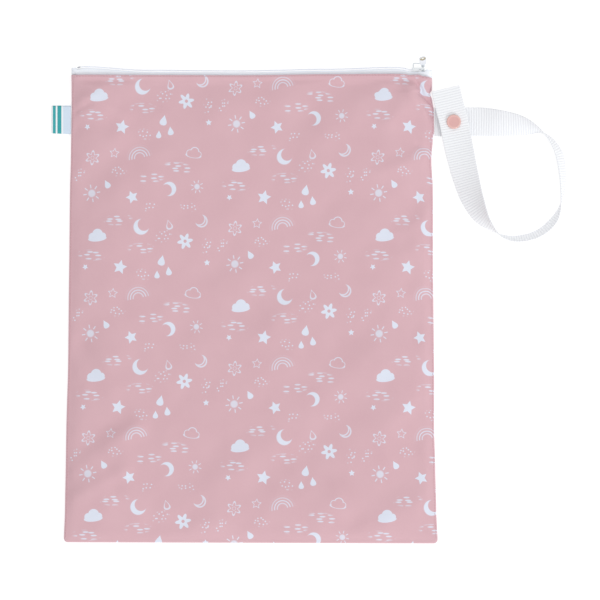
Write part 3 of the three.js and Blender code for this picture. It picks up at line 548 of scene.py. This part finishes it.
# %% The cloth's finish
knit, tree, shader = finish("printed_polyester_knit", Roughness=0.78, Sheen_Weight=0.12, Sheen_Roughness=0.5,
                            Specular_IOR_Level=0.3)
cut = add(tree, "UVMap", uv_map="cut")
place = repeat_place(tree, cut)
solid = smallest(tree, (motif(tree, place, *row) for motif, *row in solid_motifs))
dots = scattered(tree, place, dot_clusters, (3.3, 2.9), 0.21)
dashes = scattered(tree, place, dash_clusters, (9.5, 2.6), 0.27)
small = add(tree, "Math MINIMUM", dots, dashes)
line = smallest(tree, (motif(tree, place, *row) for motif, *row in line_motifs))
# From one sum to another, the ink goes from nothing to nearly all.
solid_ink = add(tree, "MapRange", solid, 1.06, 0.94, 0.0, 0.95)
line_ink = add(tree, "MapRange", line, 1.2, 0.8, 0.0, 0.75)
small_ink = add(tree, "MapRange", small, 1.2, 0.8, 0.0, 0.8)
ink = add(tree, "Math MAXIMUM", add(tree, "Math MAXIMUM", solid_ink, small_ink), line_ink)
speck_noise = add(tree, "TexNoise", {"Vector": cut, "Scale": 620.0, "Detail": 3.0})
broad = mottled(tree, cut, 38.0, 2.0, "#d0a6af", "#d9b3bb")
dyed = add(tree, "MixRGB", speck_noise, broad, light("#d7b2b9"))
printed = add(tree, "MixRGB", ink, dyed, light("#dde4f2"))
loops = add(tree, "Mapping", {"Vector": cut, "Scale": (830.0, 620.0, 1.0)})
wale = add(tree, "TexWave", {"Vector": loops, "Scale": 1.0, "Distortion": 1.5, "Detail": 1.0,
                             "Detail Scale": 2.0})
relief = add(tree, "MixRGB", 0.5, wale.outputs["Fac"], speck_noise.outputs["Fac"])
lay(tree, shader, printed, relief, 0.28, 0.25)
print("nodes in the knit:", len(tree.nodes))

# %% Both panels
def panel(name, node, upper):
    """A cloth panel: its function on the grid, with the cut's own metres as its UV."""
    across, up = np.meshgrid(cloth_across, cloth_up, indexing="ij")
    points = cloth(across, up, upper)
    faces = grid_faces(len(cloth_across), len(cloth_up))
    cut_place = np.stack([(across - 0.5) * width_foot, up * (height - 6)], axis=-1)
    cut_place += [31, 17] if upper else [401, 263]
    piece = make_piece(name, points, faces[:, ::-1] if upper else faces, knit, cut_place)
    thicken(piece, cloth_thick, -1)
    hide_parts(node)
    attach(piece, "bag")
    return piece


front = panel("front_cloth", "front_panel", True)
back = panel("back_cloth", "back_panel", False)
print("front cloth box, mm:", (np.array(front.bound_box)[[0, 6]] * 1000).round(1).tolist())

# %% [markdown]
# ## The zip
# A coil zip is two woven tapes, each with a row of nylon loops sewn to its edge. Here the tapes are sewn
# under the panels and stand up to the top edge, so the coil looks out of the top of the bag. A tape is a
# path, up from under the cloth and round to the coil, carried along the zip. The coil is a wire wound
# round a flat oval core.

# %% Tapes
tape_finish, tree, shader = finish("woven_polyester_tape", Roughness=0.8, Sheen_Weight=0.1,
                                   Specular_IOR_Level=0.3)
cut = add(tree, "UVMap", uv_map="cut")
twill_place = add(tree, "Mapping", {"Vector": cut, "Rotation": (0, 0, np.radians(38)),
                                    "Scale": (400, 400, 400)})
twill = add(tree, "TexWave", {"Vector": twill_place, "Scale": 1.0, "Distortion": 0.6, "Detail": 2.0})
white = mottled(tree, cut, 900.0, 2.0, "#eef3fe", "#f9fcff")
lay(tree, shader, white, twill.outputs["Fac"], 0.4, 0.2)

zip_left, zip_right = side_x(-1, 1.0), side_x(1, 1.0)
slider_x = zip_left + (zip_right - zip_left) * slider_across
slider_end = slider_x + 10.9 / 2
wedge_from, wedge_to = slider_end - 2.7, slider_end - 0.3
stop_from = zip_left + 8 - 0.3 - 2.6


def zip_rise(across):
    """How far the coil holds the panels apart: nothing in the seams, full height 5 mm away."""
    return (mouth_height - 2 * mouth_seam_half) * across_swell(by_slider(across), height)


def zip_middle(across):
    """Height of the zip's middle plane above the table."""
    return mouth_seam_half + zip_rise(across) / 2


def tape_paths(across):
    """For each share along the zip, the tape's path as y and distance from the middle plane."""
    spread = mouth_seam_half - 1 - 1.5 * gap - 0.5 + zip_rise(across) / 2
    x = zip_left + (zip_right - zip_left) * across
    past = np.maximum(stop_from - gap - x, x - slider_end - gap)
    top = zip_top(across) - 0.5 - (1.4 + gap) * (1 - ease(past / 1.4))
    outside = np.maximum(wedge_from - gap - x, x - wedge_to - gap)
    edge = 0.9 + (gap / 2 - 0.9) * ease(outside / 1.2)
    shoulder = top - np.minimum(spread, zip_band / 6)
    band = panel_top(across)
    turn = np.radians(np.linspace(0, 90, 8))[:, None]
    low = np.stack([band - 3.4, band - 1.5, band - gap, band + gap, (band + shoulder) / 2])
    y = np.concatenate([low, shoulder + (top - shoulder) * np.sin(turn)])
    off = np.concatenate([np.tile(spread, (5, 1)), edge + (spread - edge) * np.cos(turn)])
    inset = np.where(np.arange(len(y))[:, None] < 3, 3.0, 0.35)
    return y.T, off.T, inset.T * np.ones_like(y.T)


def zip_tape(name, node, side):
    """The tape as a sheet: its path at each place along the zip, on one side of the middle plane."""
    beside_slider = slider_across + np.linspace(-0.03, 0.035, 40)
    across = np.unique(np.concatenate([np.linspace(0, 1, 260), beside_slider]))
    y, off, inset = tape_paths(across)
    x = zip_left + inset + (zip_right - zip_left - 2 * inset) * across[:, None]
    z = zip_middle(across)[:, None] + side * off
    points = np.stack([x, y, z], axis=-1)
    step = np.linalg.norm(np.diff(points, axis=1), axis=-1).mean(0)
    down = np.tile(np.concatenate([[0], np.cumsum(step)]), (len(across), 1))
    faces = grid_faces(*y.shape)
    faces = faces[:, ::-1] if side > 0 else faces
    piece = make_piece(name, points, faces, tape_finish, np.stack([x, down], axis=-1))
    thicken(piece, tape_thick, 0)
    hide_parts(node)
    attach(piece, "bag")
    return piece


for name, node, side in [("front_tape", "zip_tape_front", 1), ("back_tape", "zip_tape_back", -1)]:
    tape = zip_tape(name, node, side)
    print(name, "faces:", len(tape.data.polygons))

# %% Wires: the coil and the threads
nylon, tree, shader = finish("nylon_monofilament", Roughness=0.32, Specular_IOR_Level=0.5)
place = add(tree, "TexCoord").outputs["Object"]
lay(tree, shader, mottled(tree, place, 300.0, 2.0, "#ebeff9", "#f5f8ff"))


def wire_faces(wires, stations, sides):
    """Faces of several closed wires: the cells of each, and a flat end at both ends."""
    one = grid_faces(stations, sides, wrap=True)[:, ::-1]
    shift = (np.arange(wires) * stations * sides)[:, None, None]
    cells = (one[None] + shift).reshape(-1, 4).tolist()
    ring = np.arange(sides)
    starts = (ring[None] + shift[:, 0]).tolist()
    ends = (ring[::-1][None] + (stations - 1) * sides + shift[:, 0]).tolist()
    return cells + starts + ends


def wires(name, paths, outward, radius, sides, material):
    """Round wires along paths of shape (wires, stations, 3): each ring stands square to the path."""
    along = np.gradient(paths, axis=1)
    along /= np.linalg.norm(along, axis=-1, keepdims=True)
    first = outward - (outward * along).sum(-1, keepdims=True) * along
    first /= np.linalg.norm(first, axis=-1, keepdims=True)
    second = np.cross(along, first)
    turn = np.linspace(0, 2 * np.pi, sides, endpoint=False)[:, None]
    ring = first[..., None, :] * np.cos(turn) + second[..., None, :] * np.sin(turn)
    radius = np.asarray(radius)[..., None, None] * np.ones(ring.shape[:-1] + (1,))
    points = paths[..., None, :] + ring * radius
    return make_piece(name, points, wire_faces(paths.shape[0], paths.shape[1], sides), material)


coil_from, coil_to, coil_pitch = zip_left + 8.2, wedge_from - 0.5, 1.4
turns = int((coil_to - coil_from) / coil_pitch)
wind = np.linspace(0, 2 * np.pi * turns, turns * 14 + 1)
coil_x = np.linspace(coil_from, coil_to, len(wind))
coil_across = (coil_x - zip_left) / (zip_right - zip_left)
around = np.stack([np.zeros_like(wind), np.cos(wind), np.sin(wind)], axis=-1)
core = np.stack([coil_x, zip_top(coil_across) - 0.7, zip_middle(coil_across)], axis=-1)
coil = wires("coil", (core + around * [0, 0.38, 1.75])[None], around[None], 0.32, 6, nylon)
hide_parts("zip_coil")
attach(coil, "bag")
print("coil turns:", turns, "faces:", len(coil.data.polygons))

# %% [markdown]
# ## Stitches
# The side seams and the cloth beside the zip are sewn through in matching thread. A stitch is a short
# thread that dips into the cloth at both ends. All the stitches of a row are one mesh, laid on the cloth's
# own function.

# %% Rows of stitches
thread, tree, shader = finish("spun_polyester_thread", Roughness=0.65, Sheen_Weight=0.2)
place = add(tree, "TexCoord").outputs["Object"]
lay(tree, shader, mottled(tree, place, 1400.0, 2.0, "#c696a0", "#d3a7af"))


def stitch_row(name, from_end, to_end, upper, length=1.7, pitch=2.5):
    """Stitches along a line of shares on a panel. Each arches over the cloth and dips in at its ends."""
    start, end = np.array(from_end), np.array(to_end)
    reach = np.linalg.norm((end - start) * [width_top, height])
    count = int(reach / pitch)
    middle = (np.arange(count)[:, None] + 0.5) / count
    within = np.linspace(-0.5, 0.5, 6)[None] * length / reach
    share = start + (end - start) * (middle + within)[..., None]
    points = cloth(share[..., 0], share[..., 1], upper)
    arch = 0.2 * (1 - (np.linspace(-1, 1, 6) ** 2)) - 0.12
    points[..., 2] += arch if upper else -arch
    points[..., 2] = np.maximum(points[..., 2], 0.15)
    up = np.broadcast_to([0.0, 0.0, 1.0 if upper else -1.0], points.shape)
    row = wires(name, points, up, 0.2, 6, thread)
    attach(row, "bag")
    return count


by_edge, by_zip = stitch_line / width_top, stitch_line / height
for upper, layer in [(True, "front"), (False, "back")]:
    left = stitch_row(layer + "_left_stitches", (by_edge, 0.01), (by_edge, 0.985), upper)
    right = stitch_row(layer + "_right_stitches", (1 - by_edge, 0.01), (1 - by_edge, 0.985), upper)
    along = stitch_row(layer + "_zip_stitches", (0.012, 1 - by_zip), (0.988, 1 - by_zip), upper)
    print(layer, "stitches:", left, right, along)

# %% [markdown]
# ## The strap
# The strap is ribbed webbing, 25 mm wide. Its path is a table: out from the seam, over the snap's lower
# cap, up on its edge round the loop, and back down on its face under the snap's upper cap. Between rows it
# runs on a smooth curve through the points. Its section is a flat oval, and a slow wave along the path
# makes the ribs.

# %% The strap's path
strap_out = [0, 75, 148, 220, 300, 380, 500, 600, 680, 745, 812, 868, 912, 948, 968, 973, 966, 942,
             900, 825, 730, 625, 545, 480, 415, 345, 283, 237, 200, 174.5, 158.5, 146, 118, 83]
strap_fall = [108, 108, 108, 108, 108, 109, 118, 128, 139, 156, 183, 228, 283, 360, 470, 580, 680, 775,
              850, 920, 965, 982, 972, 942, 885, 800, 670, 520, 370, 250, 170, 108, 0, -142]
strap_tilt = [0, 0, 0, 0, 3, 10, 27, 40, 54, 70, 88, 97, 102, 106, 105, 101, 95, 85,
              77, 76, 77, 79, 83, 90, 104, 124, 142, 155, 166, 176, 180, 180, 180, 180]
on_back = [0.47, 1, 1, 1, 0.35] + [0] * 29
on_pair = [0] * 25 + [0.03, 0.15, 0.4, 0.75, 0.97, 1, 1, 1, 0.98]
strap_wide, strap_thick = 24.5, 1.2
loop_reach, loop_fall = 110.6, 112.4
lower_strap = 1.6 + gap
pair_bottom = lower_strap + strap_thick + gap
upper_strap = pair_bottom + 3.0 + gap
cap_bottom = upper_strap + strap_thick + gap
strap_below_top = 47
strap_up = 1 - strap_below_top / height
strap_seam = max(side_x(1, strap_up + k * strap_wide / height) for k in (-0.5, 0, 0.5))

tilt = np.radians(strap_tilt)
stand = strap_wide / 2 * np.abs(np.sin(tilt)) + strap_thick / 2 * np.abs(np.cos(tilt))
rows = np.stack([
    strap_seam + gap + np.array(strap_out) / 1000 * loop_reach,
    height - strap_below_top - (np.array(strap_fall) - 108) / 1000 * loop_fall,
    stand + np.array(on_back) * lower_strap + np.array(on_pair) * upper_strap,
    tilt,
], axis=-1)


def smooth_path(rows, at):
    """A curve through all rows: in each stretch, the cubic whose slope at a row is half the line between
    the rows before and after it. Returns the place and the slope."""
    ends = np.concatenate([[2 * rows[0] - rows[1]], rows, [2 * rows[-1] - rows[-2]]])
    stretch = np.clip(np.floor(at).astype(int), 0, len(rows) - 2)
    t = (at - stretch)[:, None]
    a, b, c, d = (ends[stretch + k] for k in range(4))
    start, end = (c - a) / 2, (d - b) / 2
    cubic, square = 2 * b - 2 * c + start + end, 3 * c - 3 * b - 2 * start - end
    return b + t * (start + t * (square + t * cubic)), start + t * (2 * square + 3 * t * cubic)


fine = np.linspace(0, len(rows) - 1, 6000)
fine_place, _ = smooth_path(rows, fine)
run = np.concatenate([[0], np.cumsum(np.linalg.norm(np.diff(fine_place[:, :3], axis=0), axis=1))])
print("webbing length, mm:", run[-1].round(1))


def strap_frames(distance):
    """Middle, width direction and face direction of the webbing at each distance along it."""
    place, slope = smooth_path(rows, np.interp(distance, run, fine))
    along = slope[:, :3] / np.linalg.norm(slope[:, :3], axis=1, keepdims=True)
    level = np.stack([-along[:, 1], along[:, 0], np.zeros(len(along))], axis=-1)
    level /= np.linalg.norm(level, axis=1, keepdims=True)
    lean = place[:, 3:4]
    wide = level * np.cos(lean) + np.array([0, 0, 1]) * np.sin(lean)
    wide -= (wide * along).sum(1, keepdims=True) * along
    wide /= np.linalg.norm(wide, axis=1, keepdims=True)
    face = np.cross(along, wide)
    lowest = place[:, 2] - (np.abs(wide[:, 2]) * strap_wide + np.abs(face[:, 2]) * strap_thick) / 2
    middle = place[:, :3] + np.maximum(0, -lowest)[:, None] * np.array([0, 0, 1])
    return middle, wide, face


# %% The webbing
rib_pitch, rib_depth = 2.13, 0.24
webbing, tree, shader = finish("ribbed_polyester_webbing", Roughness=0.72, Sheen_Weight=0.2,
                               Specular_IOR_Level=0.35)
cut = add(tree, "UVMap", uv_map="cut")
weft_place = add(tree, "Mapping", {"Vector": cut, "Scale": (1.0, 1450.0, 1.0)})
weft = add(tree, "TexWave", {"Vector": weft_place, "Scale": 1.0, "Distortion": 0.8, "Detail": 1.0},
           bands_direction="Y")
fibre = add(tree, "TexNoise", {"Vector": cut, "Scale": 1100.0, "Detail": 3.0})
white = add(tree, "MixRGB", fibre, light("#eff1f5"), light("#f8f9fb"))
# Painted shade: the grooves between the ribs are tinted a darker grey, standing in for the shade that falls
# in them.
along = add(tree, "SeparateXYZ", cut).outputs[0]
to_rib = add(tree, "Math PINGPONG", add(tree, "Math SUBTRACT", along, rib_pitch / 2000), rib_pitch / 2000)
between = add(tree, "MapRange", to_rib, 0.0, 0.0005, 0.55, 0.0)
webbing_with_painted_groove_shade = add(tree, "MixRGB", between, white, light("#d3d5dc"))
relief = add(tree, "MixRGB", 0.45, weft.outputs["Fac"], fibre.outputs["Fac"])
lay(tree, shader, webbing_with_painted_groove_shade, relief, 0.15, 0.2)


def strap_section(sides=19, rounds=4):
    """The section's share of the width and of the thickness: flat faces with half-round selvedges."""
    face = np.linspace(-0.5, 0.5, sides)
    turn = np.linspace(0, np.pi, rounds + 2)[1:-1]
    edge = 0.5 + 0.022 * np.sin(turn)
    across = np.concatenate([face, edge, face[::-1], -edge])
    return across * 0.955, np.concatenate([np.ones(sides), np.cos(turn), -np.ones(sides), -np.cos(turn)])


distance = np.linspace(0, run[-1], int(run[-1] / 0.3))
middle, wide, face = strap_frames(distance)
section_across, section_high = strap_section()
ribbed = ease((0.455 - np.abs(section_across)) / 0.03)
groove = np.abs(distance / rib_pitch % 1 - 0.5) / 0.19
rib = -rib_depth * np.exp(-groove ** 2)[:, None] * ribbed
half = (strap_thick / 2 - 0.05 + rib) * section_high
aside = section_across * strap_wide
points = middle[:, None] + wide[:, None] * aside[:, None] + face[:, None] * half[..., None]
around_cut = np.cumsum(np.hypot(np.diff(aside, prepend=0), np.diff(section_high, prepend=0)))
strap_uv = np.stack(np.broadcast_arrays(distance[:, None], around_cut[None]), axis=-1)
sides = len(section_across)
strap = make_piece("webbing_strap", points, wire_faces(1, len(distance), sides), webbing, strap_uv)
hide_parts("strap")
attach(strap, "bag")
print("strap faces:", len(strap.data.polygons))

# %% [markdown]
# ## The snap
# The snap is moulded plastic: a cap above, a cap below, and stud and socket between the two layers. A cap is
# a turned shape with a soft rim and a shallow dish, satin from its mould, with a painted highlight on its
# rim.

# %% The caps of the snap
acetal, tree, shader = finish("moulded_acetal", Roughness=0.34, Specular_IOR_Level=0.5, Coat_Weight=0.1)
place = add(tree, "TexCoord").outputs["Object"]
mould = add(tree, "TexNoise", {"Vector": place, "Scale": 1800.0, "Detail": 2.0})
pink = mottled(tree, place, 120.0, 2.0, "#dba9a6", "#e0b2ae")

second_half = distance > run[-1] / 2
snap_y = height - strap_below_top
snap_middle = np.array([np.interp(snap_y, middle[second_half, 1], middle[second_half, 0]), snap_y])
rim_out = in_metres(np.append(snap_middle, cap_bottom))
# Painted highlight: from 4 to 5 mm out from the middle the cap turns a paler pink, standing in for light on
# its raised rim.
from_middle = add(tree, "VectorMath SUBTRACT", place, rim_out * [1, 1, 0])
level = add(tree, "VectorMath MULTIPLY", from_middle, (1, 1, 0))
rim = add(tree, "MapRange", add(tree, "VectorMath LENGTH", level).outputs[1], 0.0040, 0.0050)
cap_with_painted_rim_highlight = add(tree, "MixRGB", rim, pink, light("#e6bab3"))
lay(tree, shader, cap_with_painted_rim_highlight, mould, 0.12, 0.1)
cap_profile = np.array([
    [0, 0], [5.2, 0], [5.7, 0.06], [5.95, 0.22], [6.02, 0.5], [6.0, 0.85], [5.9, 1.2], [5.72, 1.48],
    [5.45, 1.7], [5.1, 1.8], [4.75, 1.74], [4.4, 1.6], [4.0, 1.52], [3.0, 1.46], [1.5, 1.43], [0, 1.42],
])


def turned(name, profile, bottom, node, upside_down=False):
    """A profile of radius and height carried once round the snap's middle."""
    turn = np.linspace(0, 2 * np.pi, 72, endpoint=False)
    rise = profile[:, 1].max() - profile[:, 1] if upside_down else profile[:, 1]
    points = np.stack([
        snap_middle[0] + profile[1:-1, 0, None] * np.cos(turn),
        snap_middle[1] + profile[1:-1, 0, None] * np.sin(turn),
        bottom + rise[1:-1, None] + 0 * turn,
    ], axis=-1)
    faces = wire_faces(1, len(profile) - 2, len(turn))
    faces = [face[::-1] for face in faces] if not upside_down else faces
    piece = make_piece(name, points, faces, acetal)
    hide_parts(node)
    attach(piece, "bag")
    return piece


turned("upper_cap", cap_profile, cap_bottom - 0.15, "snap_cap")
turned("lower_cap", cap_profile * [1, 1.6 / 1.8], 0.0, "snap_back_cap", upside_down=True)
print("snap at", in_metres(np.append(snap_middle, cap_bottom)).round(4))

# %% [markdown]
# ## The label
# The label is woven satin ribbon, folded once and sewn into the left seam. Its face is white with two plain
# stripes. Its profile runs out on the upper layer, round the fold, and back underneath.

# %% The folded label
satin, tree, shader = finish("woven_satin_ribbon", Roughness=0.42, Sheen_Weight=0.15, Anisotropic=0.4)
cut = add(tree, "UVMap", uv_map="cut")
parts = add(tree, "SeparateXYZ", cut)
from_fold = parts.outputs[0]
near_seam = add(tree, "MapRange", from_fold, 0.0098, 0.0108)
ground = add(tree, "MixRGB", near_seam, light("#f1f5f9"), light("#d3e3f3"))
stripe_ink = []
for stripe_middle, stripe_half in [(0.0029, 0.0012), (0.0072, 0.0017)]:
    aside = add(tree, "Math ABSOLUTE", add(tree, "Math SUBTRACT", from_fold, stripe_middle))
    stripe_ink.append(add(tree, "Math LESS_THAN", aside, stripe_half))
teal = add(tree, "Math MAXIMUM", stripe_ink[0], stripe_ink[1])
face_colour = add(tree, "MixRGB", teal, ground, light("#2fa3a8"))
warp = add(tree, "Mapping", {"Vector": cut, "Scale": (2600.0, 1.0, 1.0)})
satin_rib = add(tree, "TexWave", {"Vector": warp, "Scale": 1.0, "Distortion": 0.5})
lay(tree, shader, face_colour, satin_rib.outputs["Fac"], 0.2, 0.1)

label_below_top, label_tall, label_out_to_fold = 45, 23.3, 15.9
seam_tall = 22.7
label_up = 1 - label_below_top / height
label_seam = min(side_x(-1, label_up + k * seam_tall / height) for k in (-0.5, 0, 0.5))


def label_profile():
    """Out along the top, round the fold in a half circle, and back: distance out, height and sign."""
    out = np.linspace(0, label_out_to_fold, 22)
    rise = 0.5 + (seam_half - 0.5) * ease(1 - out / 16.4)
    turn = np.linspace(0, np.pi, 9)[1:-1]
    fold_out, fold_high = label_out_to_fold + 0.32 * np.sin(turn), 0.5 + 0.32 * np.cos(turn)
    return np.concatenate([out, fold_out, out[::-1]]), np.concatenate([rise + 0.32, fold_high, rise - 0.32])


label_out, label_high = label_profile()
label_run = np.concatenate([[0], np.cumsum(np.hypot(np.diff(label_out), np.diff(label_high)))])
label_down = np.linspace(-0.5, 0.5, 15) * label_tall
sag = 0.6 * (0.5 - label_down / seam_tall) * (1 - label_out / 16)[:, None]
bow = 0.12 * np.cos(np.pi * label_down / seam_tall)[None] * ease(label_out / 12)[:, None]
points = np.stack([
    label_seam - gap - label_out[:, None] + 0 * label_down,
    height - label_below_top + label_down - sag,
    label_high[:, None] + bow,
], axis=-1)
to_fold = np.abs(label_run - label_run[-1] / 2)
label_uv = np.stack(np.broadcast_arrays(to_fold[:, None], label_down[None]), axis=-1)
label = make_piece("folded_label", points, grid_faces(len(label_out), 15)[:, ::-1], satin, label_uv)
thicken(label, 0.3, 0)
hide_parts("side_label")
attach(label, "bag")

# %% [markdown]
# ## Metal and hidden pieces
# Slider and pull tab are die-cast zinc under white lacquer, worn to the plating at the rim of the tab's
# hole. The end stop is bare zinc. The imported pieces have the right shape, so they only get a finish.

# %% Lacquer
def lacquered(name, coat_colours):
    """Zinc under smooth lacquer: a glossy coat over a faintly uneven white."""
    material, tree, shader = finish(name, Roughness=0.25, Specular_IOR_Level=0.5, Coat_Weight=0.4)
    place = add(tree, "TexCoord").outputs["Object"]
    flow = add(tree, "TexNoise", {"Vector": place, "Scale": 500.0, "Detail": 1.0})
    shade = add(tree, "MixRGB", flow, light(coat_colours[0]), light(coat_colours[1]))
    lay(tree, shader, shade, flow, 0.08, 0.2)
    return material, tree, shader, place, shade


tab_hole, hole_axis = np.array([0.095437, 0.202441, 0.014763]), np.array([0.2285, -0.8529, 0.4695])
slider_lacquer = lacquered("slider_lacquered_zinc", ["#dbe1e5", "#f0f3f5"])[0]
bare_zinc = lacquered("bare_zinc", ["#a3a7ad", "#bdc1c6"])[0]
tab_lacquer, tree, shader, place, shade = lacquered("tab_lacquered_zinc", ["#e3e7ed", "#eceff4"])
from_hole = add(tree, "VectorMath SUBTRACT", place, tab_hole)
off_axis = add(tree, "VectorMath CROSS_PRODUCT", from_hole, hole_axis)
far = add(tree, "VectorMath LENGTH", off_axis).outputs[1]
worn = add(tree, "MapRange", far, 0.0026, 0.0023)
with_brass = add(tree, "MixRGB", worn, shade, light("#8f7f5c"))
lay(tree, shader, with_brass)

dressing = [("slider", slider_lacquer), ("pull_tab", tab_lacquer), ("zip_stop", bare_zinc),
            ("snap_core", acetal)]
for node, material in dressing:
    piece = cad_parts[node]
    piece.data.materials.clear()
    piece.data.materials.append(material)
    print(node, "takes", material.name)

# %% [markdown]
# ## The eyelet
# The hole in the tab is lined with a small pressed eyelet of brass, tarnished to a dull olive. It is a
# squared-off oval carried round the hole's axis, and it rides on the tab.

# %% A ring in the tab's hole
brass, tree, shader = finish("tarnished_brass", Metallic=0.35, Roughness=0.5)
place = add(tree, "TexCoord").outputs["Object"]
lay(tree, shader, mottled(tree, place, 450.0, 2.0, "#a89f82", "#d6cdb4"))


def squared(wave):
    """A wave pushed towards a square one: the power 0.6 of its size, with its sign."""
    return np.sign(wave) * np.abs(wave) ** 0.6


def eyelet(middle, axis, hole=1.05, outside=2.27, thick=0.6):
    """Radius and height run round a squared-off oval, which is carried once round the axis."""
    first = np.cross(axis, [0, 0, 1]) / np.linalg.norm(np.cross(axis, [0, 0, 1]))
    second = np.cross(axis, first)
    section = np.linspace(0, 2 * np.pi, 16, endpoint=False)
    radius = (hole + outside) / 2 + (outside - hole) / 2 * squared(np.cos(section))
    off = thick / 2 * squared(np.sin(section))
    turn = np.linspace(0, 2 * np.pi, 40, endpoint=False)[:, None]
    outward = first * np.cos(turn) + second * np.sin(turn)
    points = middle + radius[:, None, None] * outward + off[:, None, None] * axis
    piece = make_piece("tab_eyelet", points, grid_faces(16, 40, wrap=True, ring=True)[:, ::-1], brass)
    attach(piece, "pull")
    return piece


ring = eyelet(tab_hole * 1000 - table_zero, hole_axis)
print("eyelet faces:", len(ring.data.polygons))

# %% [markdown]
# ## Table, light and camera
# The bag lies on a white table that is lit from inside, as a catalogue photographer's is, so hardly any
# shadow shows on it. One soft light stands low beyond the foot, on the right, so that the folds show. A
# small one fills in from the zip's side, and the room is white. The camera looks straight down with a long
# lens. The plain colour transform keeps white white.

# %% Table
paper, tree, shader = finish("opal_acrylic_light_table", Roughness=0.9, Specular_IOR_Level=0.1,
                             Emission_Color=light("#ffffff"), Emission_Strength=0.6)
place = add(tree, "TexCoord").outputs["Object"]
lay(tree, shader, mottled(tree, place, 60.0, 4.0, "#c0c0c0", "#c4c4c4"))
table_mesh = bpy.data.meshes.new("floor")
corners = [(x, y, -0.0002) for x, y in [(-4, -4), (4, -4), (4, 4), (-4, 4)]]
table_mesh.from_pydata(corners, [], [(0, 1, 2, 3)])
table_mesh.materials.append(paper)
table = bpy.data.objects.new("floor", table_mesh)
bpy.context.collection.objects.link(table)


# %% Lights
def soft_light(name, place, size, power):
    """A square light at a place, turned to the bag."""
    lamp = bpy.data.lights.new(name, "AREA")
    lamp.size, lamp.energy = size, power
    holder = bpy.data.objects.new(name, lamp)
    holder.location = place
    holder.rotation_euler = (-Vector(place)).to_track_quat("-Z", "Y").to_euler()
    bpy.context.collection.objects.link(holder)


soft_light("window", (2.5, -3.7, 2.8), 1.8, 104)
soft_light("fill", (0.2, 1.4, 1.8), 1.4, 7.5)
room = bpy.data.worlds.new("room")
room.use_nodes = True
room.node_tree.nodes["Background"].inputs["Color"].default_value = light("#ffffff")
room.node_tree.nodes["Background"].inputs["Strength"].default_value = 0.72
bpy.context.scene.world = room
bpy.context.scene.view_settings.view_transform = "Standard"

# %% Camera
lens = bpy.data.cameras.new("camera")
camera_height, view_wide = 8.0, 0.504
lens.sensor_width = 36
lens.lens = 36 * camera_height / view_wide
lens.clip_end = 20
camera = bpy.data.objects.new("camera", lens)
camera.location = (-0.00752, -0.00004, camera_height)
bpy.context.collection.objects.link(camera)
bpy.context.scene.camera = camera
print("lens, mm:", round(lens.lens))
